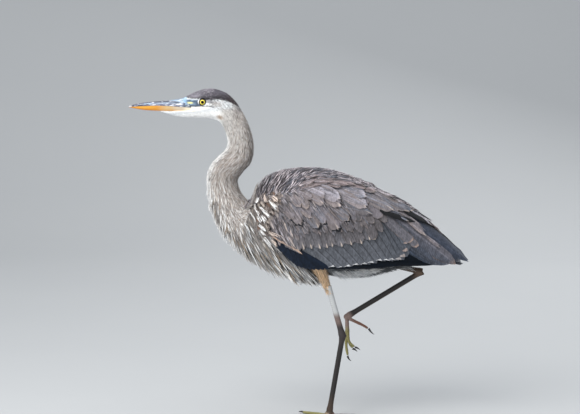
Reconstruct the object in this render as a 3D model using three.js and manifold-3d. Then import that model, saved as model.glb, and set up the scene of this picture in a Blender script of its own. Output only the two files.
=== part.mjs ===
// Great blue heron in its first-year plumage, life size, stalking: it stands on its left leg and draws the right one up behind.
// Millimetres. +X is forward (towards the bill), +Y is the bird's left, +Z is up. The origin is on the floor, under the
// ball of the left foot. Each part of the body is lofted through a few named sections, and neighbours keep a thin gap.
import * as THREE from "three";
import { mergeVertices } from "three/addons/utils/BufferGeometryUtils.js";
import Module from "manifold-3d";

const wasm = await Module();
wasm.setup();

// ---------------------------------------------------------------- driving dimensions
const GAP = 0.35; // clearance between neighbouring solids
const STANCE = { x: -22, z: -4 }; // the ball of the standing foot, seen from the body's own frame, and the floor's level in it
const BILL = { root: 283, tip: 430, half_width: 11.4, buried: 14 };
const EYE = { x: 264.5, y: 12.4, z: 718.5, radius: 9.4 };
const TARSUS_RADIUS = 6.0;
const SHANK_RADIUS = 6.6;
const ANKLE_RADIUS = 8.8;
const TOE_RADIUS = 3.9;
const TOES = {
  // bearing from straight ahead (positive towards the bird's outer side), length without its claw, claw, number of bones
  inner: { bearing: -34, length: 72, claw: 13, bones: 3 },
  middle: { bearing: 2, length: 93, claw: 14, bones: 4 },
  outer: { bearing: 35, length: 80, claw: 12, bones: 5 },
  hind: { bearing: 187, length: 48, claw: 19, bones: 2 },
};

// Sections of the head, neck and trunk: middle (x, z), lean of the section's back-to-belly line in degrees
// (90 is upright, more leans it back over the body), half depth and half width.
const SECTIONS = {
  chin_tip: { x: 357, z: 696.5, lean: 90, deep: 1.6, wide: 2.2 },
  chin: { x: 334, z: 694, lean: 90, deep: 7.0, wide: 7.6 },
  lore: { x: 314, z: 702, lean: 90, deep: 18.5, wide: 11.2 },
  face: { x: 297, z: 707, lean: 90, deep: 24.5, wide: 14.0 },
  eye: { x: 266, z: 713, lean: 90, deep: 31.5, wide: 19.0 },
  crown: { x: 242, z: 713, lean: 93, deep: 34.0, wide: 21.5 },
  cheek: { x: 219, z: 705, lean: 104, deep: 33.0, wide: 22.0 },
  nape: { x: 201, z: 686, lean: 124, deep: 29.5, wide: 21.0 },
  throat: { x: 188, z: 661, lean: 144, deep: 27.8, wide: 20.5 },
  upper_neck: { x: 180, z: 634, lean: 161, deep: 28.4, wide: 21.0 },
  bend_top: { x: 181, z: 608, lean: 179, deep: 32.0, wide: 23.0 },
  bend: { x: 193, z: 585, lean: 190, deep: 37.6, wide: 25.5 },
  bend_low: { x: 209, z: 566, lean: 190, deep: 37.0, wide: 25.5 },
  mid_neck: { x: 219, z: 543, lean: 185, deep: 34.0, wide: 24.5 },
  lower_neck: { x: 216, z: 517, lean: 179, deep: 35.0, wide: 26.0 },
  neck_foot: { x: 206, z: 491, lean: 166, deep: 38.2, wide: 29.5 },
  pit: { x: 193, z: 467, lean: 148, deep: 42.5, wide: 35.0 },
  shoulder: { x: 178, z: 456, lean: 121, deep: 53.0, wide: 43.0 },
  mantle_front: { x: 160, z: 456, lean: 104, deep: 74.0, wide: 51.0 },
  breast: { x: 133, z: 456, lean: 97, deep: 93.0, wide: 59.0 },
  ribs: { x: 91, z: 453, lean: 94, deep: 110.0, wide: 66.0 },
  keel: { x: 39, z: 449, lean: 93, deep: 119.0, wide: 70.0 },
  belly: { x: -25, z: 442, lean: 91, deep: 121.0, wide: 67.0 },
  vent: { x: -92, z: 429, lean: 89, deep: 111.0, wide: 58.0 },
  rump: { x: -151, z: 418, lean: 88, deep: 88.0, wide: 48.0 },
  tail_root: { x: -198, z: 407, lean: 88, deep: 63.0, wide: 38.0 },
  tail_coverts: { x: -240, z: 389, lean: 88, deep: 40.0, wide: 28.0 },
  coverts_end: { x: -268, z: 372, lean: 88, deep: 19.0, wide: 18.0 },
};

// Folded wing from its front edge back to its tips: the heights of its upper and lower edges, how far out it bulges, and
// how far out its upper edge lies.
const WING = {
  front: { x: 148, top: 494, low: 472, out: 54, tuck: 50 },
  wrist: { x: 139, top: 516, low: 446, out: 61, tuck: 50 },
  forearm: { x: 124, top: 534, low: 418, out: 68, tuck: 48 },
  fore_edge: { x: 98, top: 548, low: 392, out: 75, tuck: 46 },
  elbow: { x: 55, top: 557, low: 360, out: 82, tuck: 44 },
  middle: { x: 0, top: 559, low: 350, out: 84, tuck: 42 },
  secondaries: { x: -68, top: 548, low: 349, out: 79, tuck: 36 },
  tertials: { x: -135, top: 524, low: 350, out: 68, tuck: 27 },
  long_tertials: { x: -191, top: 496, low: 350, out: 56, tuck: 17 },
  rear: { x: -236, top: 462, low: 350, out: 46, tuck: 8 },
  points: { x: -277, top: 426, low: 351, out: 35, tuck: 4.5 },
  near_tip: { x: -310, top: 392, low: 351, out: 25, tuck: 4 },
  tip: { x: -332, top: 364, low: 350, out: 14, tuck: 4 },
};
const WING_DEPTH = 34; // thickness of the folded arm and its feathers
const FEATHER_DEPTH = 5; // thickness of the feathers alone, where they stand free behind the arm

// Both legs: knee, end of the feathering, ankle and ball of the foot, in the body's own frame.
const LEG = {
  left: {
    knee: [30, 40, 418], cuff: [-26, 30, 276], ankle: [-51, 22, 187], ball: [STANCE.x, 0, STANCE.z + 8],
    feathering: [25, 28, 21, 14.5, 10, 7.4],
  },
  right: {
    knee: [15, -42, 393], cuff: [-113, -41, 352], ankle: [-230, -38, 324], ball: [-61, -31, 222],
    feathering: [22, 25, 23, 18, 13, 8],
  },
};
// The lifted foot's toes hang slack: points along each toe, then its claw's tip.
const SLACK = {
  inner: { line: [[-62, -28, 214], [-63, -25, 186], [-67, -22, 165], [-81, -19, 153]], claw: [-92, -18, 148] },
  middle: { line: [[-61, -31, 213], [-61, -30, 182], [-60, -30, 156], [-64, -30, 130]], claw: [-71, -30, 119] },
  outer: { line: [[-62, -34, 214], [-64, -38, 186], [-66, -42, 163], [-76, -44, 145]], claw: [-86, -44, 139] },
  hind: { line: [[-68, -31, 217], [-82, -31, 210], [-98, -32, 202], [-112, -32, 193]], claw: [-123, -32, 180] },
};

// ---------------------------------------------------------------- helpers
const rad = THREE.MathUtils.degToRad;
const V = (x, y, z) => new THREE.Vector3(x, y, z);

// A smooth curve through a table's values: cubic, with each slope from the neighbours on both sides.
function smooth(at, values) {
  const n = at.length;
  const slope = values.map((v, i) => {
    const a = Math.max(0, i - 1);
    const b = Math.min(n - 1, i + 1);
    return (values[b] - values[a]) / (at[b] - at[a]);
  });
  return (t) => {
    let i = 0;
    while (i < n - 2 && t > at[i + 1]) i++;
    const d = at[i + 1] - at[i];
    const u = (t - at[i]) / d;
    const u2 = u * u;
    const u3 = u2 * u;
    return (
      (2 * u3 - 3 * u2 + 1) * values[i] +
      (u3 - 2 * u2 + u) * d * slope[i] +
      (3 * u2 - 2 * u3) * values[i + 1] +
      (u3 - u2) * d * slope[i + 1]
    );
  };
}

function table(rows, at) {
  const list = Object.values(rows);
  const marks = at(list);
  const out = { marks, names: Object.keys(rows) };
  for (const key of Object.keys(list[0])) out[key] = smooth(marks, list.map((r) => r[key]));
  out.mark = (name) => marks[out.names.indexOf(name)];
  return out;
}

// Reshapes an upright unit cylinder: place(t, angle, r) puts a vertex, with t from 0 to 1 along it and r 0 at its axis.
function shaped(sides, steps, place) {
  const g = new THREE.CylinderGeometry(1, 1, 1, sides, steps);
  const p = g.attributes.position;
  for (let i = 0; i < p.count; i++) {
    const r = Math.min(1, Math.hypot(p.getX(i), p.getZ(i)));
    const v = place(0.5 - p.getY(i), Math.atan2(p.getX(i), p.getZ(i)), r < 1e-6 ? 0 : r);
    p.setXYZ(i, v.x, v.y, v.z);
  }
  return solidOf(g);
}

function solidOf(geometry) {
  const g = geometry.clone();
  g.deleteAttribute("normal");
  g.deleteAttribute("uv");
  const m = mergeVertices(g, 1e-3);
  const ix = m.index.array;
  const tri = [];
  for (let i = 0; i < ix.length; i += 3)
    if (ix[i] !== ix[i + 1] && ix[i + 1] !== ix[i + 2] && ix[i] !== ix[i + 2]) tri.push(ix[i], ix[i + 1], ix[i + 2]);
  const build = (t) =>
    new wasm.Manifold(new wasm.Mesh({ numProp: 3, vertProperties: m.attributes.position.array, triVerts: new Uint32Array(t) }));
  const made = build(tri);
  if (made.volume() > 0) return made;
  for (let i = 0; i < tri.length; i += 3) [tri[i + 1], tri[i + 2]] = [tri[i + 2], tri[i + 1]];
  return build(tri);
}

// The largest body of a cut solid: a cut along a thin edge can leave a loose sliver.
const main = (solid) => solid.decompose().sort((a, b) => b.volume() - a.volume())[0];
const cut = (solid, ...others) => main(others.reduce((s, o) => s.subtract(o), solid));
const mirrored = (solid) => solid.mirror([0, 1, 0]);

function box(sx, sy, sz, x, y, z, turnY = 0) {
  const g = new THREE.BoxGeometry(sx, sy, sz);
  g.applyMatrix4(new THREE.Matrix4().makeRotationY(turnY));
  g.translate(x, y, z);
  return solidOf(g);
}

// A limb along a smooth curve. radius(t) gives [fore-and-aft, sideways]; floor, if given, flattens what would sink below it.
function limb(points, radius, sides, steps, grow = 0, floor = -Infinity) {
  const curve = points.length > 2 ? new THREE.CatmullRomCurve3(points, false, "centripetal") : new THREE.LineCurve3(...points);
  return shaped(sides, steps, (t, a, r) => {
    const along = curve.getTangent(t);
    const c = curve.getPoint(t).addScaledVector(along, grow * (t < 1e-6 ? -1 : t > 1 - 1e-6 ? 1 : 0));
    const side = V(0, 1, 0).addScaledVector(along, -along.y).normalize();
    const fore = side.clone().cross(along).normalize();
    const [f, s] = radius(t);
    c.addScaledVector(fore, Math.cos(a) * r * (f + grow)).addScaledVector(side, Math.sin(a) * r * (s + grow));
    c.z = Math.max(c.z, floor);
    return c;
  });
}

// ---------------------------------------------------------------- body
const body = table(SECTIONS, (list) => {
  let sum = 0;
  return list.map((s, i) => (sum += i ? Math.hypot(s.x - list[i - 1].x, s.z - list[i - 1].z) : 0));
});

// The body between two marks along its spine. The section is an ellipse, a little fuller on the trunk. A grown copy, which
// makes room for this one in its neighbours, also runs past both ends.
function bodyPart(from, to, sides, steps, grow = 0) {
  return shaped(sides, steps, (t, a, r) => {
    const m = from + (to - from) * t;
    const end = grow ? (t < 1e-6 ? -2 : t > 1 - 1e-6 ? 2 : 0) : 0;
    const lean = rad(body.lean(m));
    const full = THREE.MathUtils.smoothstep(m, body.mark("pit"), body.mark("ribs"));
    const n = 2 / (2 + 0.35 * full);
    const c = Math.cos(a);
    const s = Math.sin(a);
    const up = Math.sign(c) * Math.abs(c) ** n * (body.deep(m) + grow) * r;
    const out = Math.sign(s) * Math.abs(s) ** n * (body.wide(m) + grow) * r;
    return V(body.x(m) + Math.cos(lean) * up - Math.sin(lean) * end, out, body.z(m) + Math.sin(lean) * up + Math.cos(lean) * end);
  });
}

const at = (name, share = 0) => {
  const i = body.names.indexOf(name);
  return body.marks[i] + share * ((body.marks[i + 1] ?? body.marks[i]) - body.marks[i]);
};
const CUTS = { head: at("nape", 0.35), upper: at("bend_top", 0.3), middle: at("lower_neck"), lower: at("shoulder", 0.2) };
const END = at("coverts_end");
const seam = GAP / 2;

// ---------------------------------------------------------------- bill
const culmen = smooth([0, 0.1, 0.45, 0.8, 0.95, 1], [727, 727, 721, 713.6, 708.6, 706.4]);
const gape = smooth([0, 0.25, 0.6, 1], [706.2, 709.2, 709.4, 705.9]);
const gonys = smooth([0, 0.3, 0.72, 0.9, 1], [696, 696.3, 698.2, 702.2, 705.4]);

// One half of the bill: broad along the edge that meets the other half, narrow along its ridge.
function mandible(upper, grow = 0) {
  return shaped(12, 9, (t, a, r) => {
    const x = BILL.root + (BILL.tip - BILL.root) * t ** 0.9 - grow * (t < 1e-6 ? 1 : 0);
    const share = (x - BILL.root) / (BILL.tip - BILL.root);
    const half = BILL.half_width * Math.max(0, 1 - share) ** 0.86 + 0.55 + grow;
    const away = upper ? 1 : -1;
    const flat = gape(share) + away * (GAP / 2 - grow);
    const ridge = (upper ? culmen(share) : gonys(share)) + away * grow;
    const rise = Math.max(0, Math.cos(a));
    return V(x, Math.sin(a) * half * (1 - 0.25 * rise) * r, flat + (ridge - flat) * rise ** 0.9 * r);
  });
}

// ---------------------------------------------------------------- eyes
function eyeball(side, grow = 0) {
  const g = new THREE.SphereGeometry(EYE.radius + grow, 12, 8);
  g.rotateX(Math.PI / 2);
  g.translate(EYE.x, side * EYE.y, EYE.z);
  return solidOf(g);
}

// ---------------------------------------------------------------- wings
const wing = table(WING, (list) => list.map((w) => list[0].x - w.x));

// How far out the wing's outer face lies, at a mark along it and a height share from its lower edge (-1) to its upper (1).
function wingFace(m, s) {
  const out = wing.out(m);
  const edge = s > 0 ? wing.tuck(m) : out * 0.86;
  return edge + (out - edge) * (1 - Math.abs(s) ** 2.4);
}
function wingSolid(grow = 0) {
  const length = wing.marks.at(-1);
  return shaped(18, 16, (t, a, r) => {
    const m = length * t ** 1.15;
    const middle = (wing.top(m) + wing.low(m)) / 2;
    const half = (wing.top(m) - wing.low(m)) / 2 + grow;
    const s = Math.cos(a);
    const free = THREE.MathUtils.smoothstep(m, 230, 320);
    const face = wingFace(m, s);
    const back = Math.max(1.5, face - THREE.MathUtils.lerp(WING_DEPTH, FEATHER_DEPTH, free));
    const centre = (face + back) / 2;
    const y = centre + Math.sin(a) * ((face - back) / 2 + grow) * (r ? 1 : 0);
    return V(WING.front.x - m + grow * (t < 1e-6 ? 1 : t > 1 - 1e-6 ? -1 : 0), y, middle + half * s * r);
  });
}

// ---------------------------------------------------------------- tail and plumes
function tailSolid(grow = 0) {
  const root = V(-214, 0, 386);
  const tip = V(-327, 0, 345.5);
  return shaped(12, 5, (t, a, r) => {
    const c = root.clone().lerp(tip, t < 1e-6 ? -0.02 * (grow ? 1 : 0) : t > 1 - 1e-6 ? 1 + 0.02 * (grow ? 1 : 0) : t);
    const wide = THREE.MathUtils.lerp(14, 16, t) * (t > 0.9 ? 1 - 0.25 * ((t - 0.9) / 0.1) : 1) + grow;
    const thick = THREE.MathUtils.lerp(9, 2.0, Math.min(1, t * 1.15)) + grow;
    const y = Math.sin(a) * wide * r;
    return V(c.x + Math.cos(a) * thick * r * 0.3, y, c.z + Math.cos(a) * thick * r - 0.006 * y * y);
  });
}

// The long plumes that hang from the foot of the neck, as one closed hanging fringe.
function plumesSolid(grow = 0) {
  const line = new THREE.CatmullRomCurve3([V(196, 0, 408), V(150, 0, 368), V(96, 0, 334), V(50, 0, 314), V(22, 0, 299)]);
  return shaped(12, 7, (t, a, r) => {
    const c = line.getPoint(t);
    const along = line.getTangent(t);
    const down = V(-along.z, 0, along.x);
    const end = grow * (t < 1e-6 ? -1 : t > 1 - 1e-6 ? 1 : 0);
    const wide = THREE.MathUtils.lerp(26, 30, t) * (1 - 0.72 * t ** 3) + grow;
    const thick = (t < 0.15 ? THREE.MathUtils.lerp(6, 11, t / 0.15) : THREE.MathUtils.lerp(11, 3, (t - 0.15) / 0.85)) + grow;
    return c.addScaledVector(along, end).addScaledVector(down, Math.cos(a) * thick * r).add(V(0, Math.sin(a) * wide * r, 0));
  });
}

// ---------------------------------------------------------------- legs
const P = (list) => V(...list);
const between = (a, b, t) => a.clone().lerp(b, t);

function thigh(leg, grow = 0) {
  const full = smooth([0, 0.2, 0.45, 0.62, 0.8, 1], leg.feathering);
  return limb([P(leg.knee), P(leg.cuff)], (t) => [full(t) * (t < 1e-6 ? 0.6 : 1), full(t) * (t < 1e-6 ? 0.5 : 0.86)], 12, 7, grow);
}
function shank(leg, grow = 0) {
  const start = between(P(leg.cuff), P(leg.knee), 0.1);
  return limb([start, P(leg.ankle)], (t) => {
    const joint = THREE.MathUtils.smoothstep(t, 0.76, 0.97);
    const f = THREE.MathUtils.lerp(SHANK_RADIUS, ANKLE_RADIUS * 0.92, joint) * (t > 1 - 1e-6 ? 0.8 : 1);
    return [f, f * 0.86];
  }, 10, 7, grow);
}
function tarsus(leg, grow = 0) {
  return limb([P(leg.ankle), P(leg.ball)], (t) => {
    const knob = 1 - THREE.MathUtils.smoothstep(t, 0.02, 0.17);
    const foot = THREE.MathUtils.smoothstep(t, 0.85, 1);
    const f = TARSUS_RADIUS + (ANKLE_RADIUS - TARSUS_RADIUS) * knob + 0.8 * foot;
    const end = t < 1e-6 ? 0.72 : 1;
    return [f * end, (f * 0.86 + 1.0 * foot) * end];
  }, 10, 8, grow);
}

// One foot: the ball, which is a low pad with a flat sole where it stands, four toes and their claws.
function footParts(side, leg, slack) {
  const parts = { toes: {}, claws: {} };
  const ball = P(leg.ball);
  const floor = slack ? -Infinity : STANCE.z;
  for (const [toe, d] of Object.entries(TOES)) {
    let line;
    let claw;
    if (slack) {
      line = slack[toe].line.map(P);
      const tip = P(slack[toe].claw);
      const out = line[3].clone().sub(line[2]).normalize();
      claw = [line[3].clone().addScaledVector(out, GAP), line[3].clone().addScaledVector(out, d.claw * 0.45), tip];
    } else {
      const ahead = V(Math.cos(rad(d.bearing)), Math.sin(rad(d.bearing)) * side, 0);
      const on = (k, h) => V(ball.x, ball.y, floor + h).addScaledVector(ahead, k);
      const low = TOE_RADIUS * 0.74;
      line = [on(5, low + 2), on(d.length * 0.33, low + 0.7), on(d.length * 0.66, low), on(d.length, low * 0.8)];
      claw = [on(d.length + GAP, 2.3), on(d.length + d.claw * 0.5, 2.7), on(d.length + d.claw, 0.8)];
    }
    const shape = (t) => {
      const pad = 0.1 * Math.sin(t * Math.PI * d.bones) ** 2;
      const f = THREE.MathUtils.lerp(TOE_RADIUS, TOE_RADIUS * 0.72, t) * (1 + pad) * (t > 1 - 1e-6 ? 0.8 : 1);
      return [f, f];
    };
    const hook = (t) => {
      const f = THREE.MathUtils.lerp(2.5, 0.6, t ** 0.9);
      return [f, f * 0.8];
    };
    parts.toes[toe] = [limb(line, shape, 7, 5, 0, floor), limb(line, shape, 7, 5, GAP, -Infinity)];
    parts.claws[toe] = limb(claw, hook, 5, 3, 0, floor);
  }
  parts.ball = [0, GAP].map((grow) => {
    const g = new THREE.SphereGeometry(1, 10, 6);
    g.scale(11 + grow, 9 + grow, 8 + grow);
    if (slack) g.rotateY(rad(58));
    else g.translate(1.5, 0, -3);
    g.translate(ball.x, ball.y, ball.z);
    const p = g.attributes.position;
    for (let i = 0; i < p.count; i++) p.setZ(i, Math.max(p.getZ(i), floor - (slack ? 0 : grow)));
    return solidOf(g);
  });
  return parts;
}

// ---------------------------------------------------------------- assembly
const root = new THREE.Group();
const bird = new THREE.Group();
bird.position.set(-STANCE.x, 0, -STANCE.z);
root.add(bird);

const FINISH = {
  crown: [0x6a6468, 0.85],
  neck: [0x9a8f87, 0.9],
  trunk: [0x7b7472, 0.9],
  coverts: [0x77706d, 0.85],
  flight: [0x4c535e, 0.8],
  plume: [0xc6c1b6, 0.9],
  thigh: [0xb08a5a, 0.9],
  shank: [0xb3b4b4, 0.55],
  tarsus: [0x38343a, 0.5],
  toe: [0x7a6d3e, 0.55],
  horn_dark: [0x54606f, 0.35],
  horn_orange: [0xd98a2b, 0.35],
  claw: [0x2c2a28, 0.35],
  eye: [0xe3c21c, 0.08],
};
function put(name, solid, finish) {
  const m = solid.getMesh();
  const g = new THREE.BufferGeometry();
  const v = new Float32Array(m.numVert * 3);
  for (let i = 0; i < m.numVert; i++) for (let k = 0; k < 3; k++) v[i * 3 + k] = m.vertProperties[i * m.numProp + k];
  g.setAttribute("position", new THREE.BufferAttribute(v, 3));
  g.setIndex(new THREE.BufferAttribute(new Uint32Array(m.triVerts), 1));
  g.computeVertexNormals();
  const [color, roughness] = FINISH[finish];
  const mesh = new THREE.Mesh(g, new THREE.MeshStandardMaterial({ color, roughness, metalness: 0 }));
  mesh.name = name;
  bird.add(mesh);
}

// Head, bill and eyes
const head = (grow) => bodyPart(0, CUTS.head - seam, 20, 11, grow);
put("head", cut(head(0), mandible(true, GAP), mandible(false, GAP), eyeball(1, GAP), eyeball(-1, GAP)), "crown");
put("bill_upper", mandible(true), "horn_dark");
put("bill_lower", mandible(false), "horn_orange");
put("eye_left", eyeball(1), "eye");
put("eye_right", eyeball(-1), "eye");

// Neck
const lowerNeck = (grow) => bodyPart(CUTS.middle, CUTS.lower - seam, 20, 5, grow);
put("neck_upper", bodyPart(CUTS.head + seam, CUTS.upper - seam, 18, 5), "neck");
put("neck_middle", bodyPart(CUTS.upper + seam, CUTS.middle - seam, 18, 5), "neck");
put("neck_lower", lowerNeck(0), "neck");

// Wings, parted along the line where the coverts give way to the flight feathers
const trunk = (grow) => bodyPart(CUTS.lower + seam, END, 22, 13, grow);
const wingLeft = cut(wingSolid(), trunk(GAP), lowerNeck(GAP), tailSolid(GAP));
const line = { from: V(118, 0, 402), to: V(-205, 0, 492) };
const slope = Math.atan2(line.to.z - line.from.z, line.from.x - line.to.x);
const slab = (far) => {
  const middle = between(line.from, line.to, 0.5).add(V(Math.sin(slope), 0, Math.cos(slope)).multiplyScalar(far));
  return box(1200, 400, 600, middle.x, 100, middle.z, slope);
};
const halves = { coverts: main(wingLeft.intersect(slab(300 + seam))), flight: main(wingLeft.intersect(slab(-300 - seam))) };
for (const [kind, solid] of Object.entries(halves)) {
  put(`wing_left_${kind}`, solid, kind);
  put(`wing_right_${kind}`, mirrored(solid), kind);
}

// Trunk, tail and breast plumes
const thighRoom = [thigh(LEG.left, GAP), thigh(LEG.right, GAP), shank(LEG.right, GAP), shank(LEG.left, GAP)];
put("trunk", cut(trunk(0), ...thighRoom), "trunk");
put("tail", cut(tailSolid(), trunk(GAP)), "flight");
const wingRoom = [wingSolid(GAP), mirrored(wingSolid(GAP))];
put("breast_plumes", cut(plumesSolid(), trunk(GAP), lowerNeck(GAP), ...wingRoom, ...thighRoom), "plume");

// Legs
for (const [name, side] of [["left", 1], ["right", -1]]) {
  const leg = LEG[name];
  const foot = footParts(side, leg, name === "right" ? SLACK : null);
  put(`thigh_${name}`, cut(thigh(leg), ...wingRoom, shank(leg, GAP)), "thigh");
  put(`shank_${name}`, cut(shank(leg), ...wingRoom, tarsus(leg, GAP)), "shank");
  put(`tarsus_${name}`, cut(tarsus(leg), foot.ball[1]), "tarsus");
  put(`foot_${name}_ball`, foot.ball[0], "toe");
  const before = [foot.ball[1], tarsus(leg, GAP)];
  for (const toe of Object.keys(TOES)) {
    put(`toe_${name}_${toe}`, cut(foot.toes[toe][0], ...before), "toe");
    put(`claw_${name}_${toe}`, cut(foot.claws[toe], foot.toes[toe][1]), "claw");
    before.push(foot.toes[toe][1]);
  }
}

export default root;
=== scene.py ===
# Great blue heron in first-year plumage, stalking on its left leg: the looks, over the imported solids.
# Working numbers are millimetres in the bird's own frame; OFFSET carries them to the part's frame.
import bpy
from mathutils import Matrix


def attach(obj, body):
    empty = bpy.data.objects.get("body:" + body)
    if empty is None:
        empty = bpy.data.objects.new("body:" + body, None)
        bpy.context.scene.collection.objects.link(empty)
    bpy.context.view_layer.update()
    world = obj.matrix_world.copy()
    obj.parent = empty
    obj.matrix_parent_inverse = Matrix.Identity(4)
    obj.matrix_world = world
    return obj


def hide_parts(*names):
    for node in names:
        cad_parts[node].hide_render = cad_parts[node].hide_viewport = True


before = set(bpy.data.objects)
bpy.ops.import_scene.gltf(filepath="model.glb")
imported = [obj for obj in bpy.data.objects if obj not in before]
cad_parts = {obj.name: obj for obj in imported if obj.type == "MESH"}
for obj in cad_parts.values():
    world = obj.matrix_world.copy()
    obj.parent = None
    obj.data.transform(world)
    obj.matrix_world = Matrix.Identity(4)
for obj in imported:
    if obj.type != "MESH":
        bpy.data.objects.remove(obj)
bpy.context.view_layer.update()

import math

import bpy
import numpy as np
from mathutils import Vector
from mathutils.bvhtree import BVHTree

OFFSET = np.array([22.0, 0.0, 4.0])
PI = math.pi


def to_part(p):
    return (np.asarray(p, float) + OFFSET) / 1000.0


def lin(r, g, b):
    """A colour given as 0-255 screen values, as linear light."""
    c = np.array([r, g, b], float) / 255.0
    return np.where(c <= 0.04045, c / 12.92, ((c + 0.055) / 1.055) ** 2.4)


def step(x, a, b):
    t = np.clip((np.asarray(x, float) - a) / (b - a), 0, 1)
    return t * t * (3 - 2 * t)


def mix(a, b, t):
    """Between a and b, which may be colours while t is one number a point."""
    a, b, t = np.asarray(a, float), np.asarray(b, float), np.asarray(t, float)
    colours = (a.ndim and a.shape[-1] == 3) or (b.ndim and b.shape[-1] == 3)
    if colours and t.ndim and t.shape[-1] != 1:
        t = t[..., None]
    return a * (1 - t) + b * t


def cubic(at, values, t):
    """The cubic curve through a table, each slope taken from the neighbours on both sides."""
    at, values = np.asarray(at, float), np.asarray(values, float)
    n = len(at)
    lo, hi = np.maximum(np.arange(n) - 1, 0), np.minimum(np.arange(n) + 1, n - 1)
    slope = (values[hi] - values[lo]) / (at[hi] - at[lo])
    t = np.clip(np.asarray(t, float), at[0], at[-1])
    i = np.clip(np.searchsorted(at, t, side="right") - 1, 0, n - 2)
    d = at[i + 1] - at[i]
    u = (t - at[i]) / d
    return ((2 * u**3 - 3 * u**2 + 1) * values[i] + (u**3 - 2 * u**2 + u) * d * slope[i]
            + (3 * u**2 - 2 * u**3) * values[i + 1] + (u**3 - u**2) * d * slope[i + 1])


# ------------------------------------------------------------------ the body's sections, as in the solids
SECTIONS = [  # name, x, z, lean, half depth, half width
    ("chin_tip", 357, 696.5, 90, 1.6, 2.2), ("chin", 334, 694, 90, 7.0, 7.6), ("lore", 314, 702, 90, 18.5, 11.2),
    ("face", 297, 707, 90, 24.5, 14.0), ("eye", 266, 713, 90, 31.5, 19.0), ("crown", 242, 713, 93, 34.0, 21.5),
    ("cheek", 219, 705, 104, 33.0, 22.0), ("nape", 201, 686, 124, 29.5, 21.0), ("throat", 188, 661, 144, 27.8, 20.5),
    ("upper_neck", 180, 634, 161, 28.4, 21.0), ("bend_top", 181, 608, 179, 32.0, 23.0), ("bend", 193, 585, 190, 37.6, 25.5),
    ("bend_low", 209, 566, 190, 37.0, 25.5), ("mid_neck", 219, 543, 185, 34.0, 24.5), ("lower_neck", 216, 517, 179, 35.0, 26.0),
    ("neck_foot", 206, 491, 166, 38.2, 29.5), ("pit", 193, 467, 148, 42.5, 35.0), ("shoulder", 178, 456, 121, 53.0, 43.0),
    ("mantle_front", 160, 456, 104, 74.0, 51.0), ("breast", 133, 456, 97, 93.0, 59.0), ("ribs", 91, 453, 94, 110.0, 66.0),
    ("keel", 39, 449, 93, 119.0, 70.0), ("belly", -25, 442, 91, 121.0, 67.0), ("vent", -92, 429, 89, 111.0, 58.0),
    ("rump", -151, 418, 88, 88.0, 48.0), ("tail_root", -198, 407, 88, 63.0, 38.0), ("tail_coverts", -240, 389, 88, 40.0, 28.0),
    ("coverts_end", -268, 372, 88, 19.0, 18.0),
]
NAMES = [s[0] for s in SECTIONS]
SX, SZ, SLEAN, SDEEP, SWIDE = (np.array([s[i] for s in SECTIONS], float) for i in range(1, 6))
MARKS = np.concatenate([[0], np.cumsum(np.hypot(np.diff(SX), np.diff(SZ)))])
MARK = dict(zip(NAMES, MARKS))
END = MARKS[-1]

WING = [  # x, top, low, out, tuck
    (148, 494, 472, 54, 50), (139, 516, 446, 61, 50), (124, 534, 418, 68, 48), (98, 548, 392, 75, 46), (55, 557, 360, 82, 44),
    (0, 559, 350, 84, 42), (-68, 548, 349, 79, 36), (-135, 524, 350, 68, 27), (-191, 496, 350, 56, 17), (-236, 462, 350, 46, 8),
    (-277, 426, 351, 35, 4.5), (-310, 392, 351, 25, 4), (-332, 364, 350, 14, 4),
]
WX, WTOP, WLOW, WOUT, WTUCK = (np.array([w[i] for w in WING], float) for i in range(5))


def wing_at(x):
    m = WX[0] - np.asarray(x, float)
    return [cubic(WX[0] - WX, v, m) for v in (WTOP, WLOW, WOUT, WTUCK)]


def wing_face(x, s):
    top, low, out, tuck = wing_at(x)
    edge = np.where(s > 0, tuck, out * 0.86)
    return edge + (out - edge) * (1 - np.clip(np.abs(s), 0, 1.25) ** 2.4)


class Surface:
    """A grid of points with normals, read between its points. a is the first axis, b the second, which may close on itself."""

    def __init__(self, a, b, points, closed):
        self.a, self.b, self.p, self.closed = a, b, points, closed
        pa = np.gradient(points, axis=0)
        if closed:
            wide = np.concatenate([points[:, -2:-1], points, points[:, 1:2]], 1)
            pb = np.gradient(wide, axis=1)[:, 1:-1]
        else:
            pb = np.gradient(points, axis=1)
        n = np.cross(pa, pb)
        n /= np.maximum(np.linalg.norm(n, axis=2, keepdims=True), 1e-9)
        self.n = n
        self.ea = np.linalg.norm(pa, axis=2) / abs(a[1] - a[0])
        self.eb = np.linalg.norm(pb, axis=2) / abs(b[1] - b[0])

    def _at(self, a, b):
        fa = (np.asarray(a, float) - self.a[0]) / (self.a[1] - self.a[0])
        fb = (np.asarray(b, float) - self.b[0]) / (self.b[1] - self.b[0])
        if self.closed:
            fb = np.mod(fb, len(self.b) - 1)
        fa, fb = np.clip(fa, 0, len(self.a) - 1.001), np.clip(fb, 0, len(self.b) - 1.001)
        i, j = fa.astype(int), fb.astype(int)
        return i, j, fa - i, fb - j

    def _read(self, grid, a, b):
        i, j, u, v = self._at(a, b)
        if grid.ndim == 3:
            u, v = u[..., None], v[..., None]
        return (grid[i, j] * (1 - u) * (1 - v) + grid[i + 1, j] * u * (1 - v) + grid[i, j + 1] * (1 - u) * v + grid[i + 1, j + 1] * u * v)

    def point(self, a, b, h=0.0):
        n = self._read(self.n, a, b)
        n /= np.maximum(np.linalg.norm(n, axis=-1, keepdims=True), 1e-9)
        return self._read(self.p, a, b) + n * np.asarray(h, float)[..., None]

    def scales(self, a, b):
        return np.maximum(self._read(self.ea, a, b), 0.2), np.maximum(self._read(self.eb, a, b), 1e-3)


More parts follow.
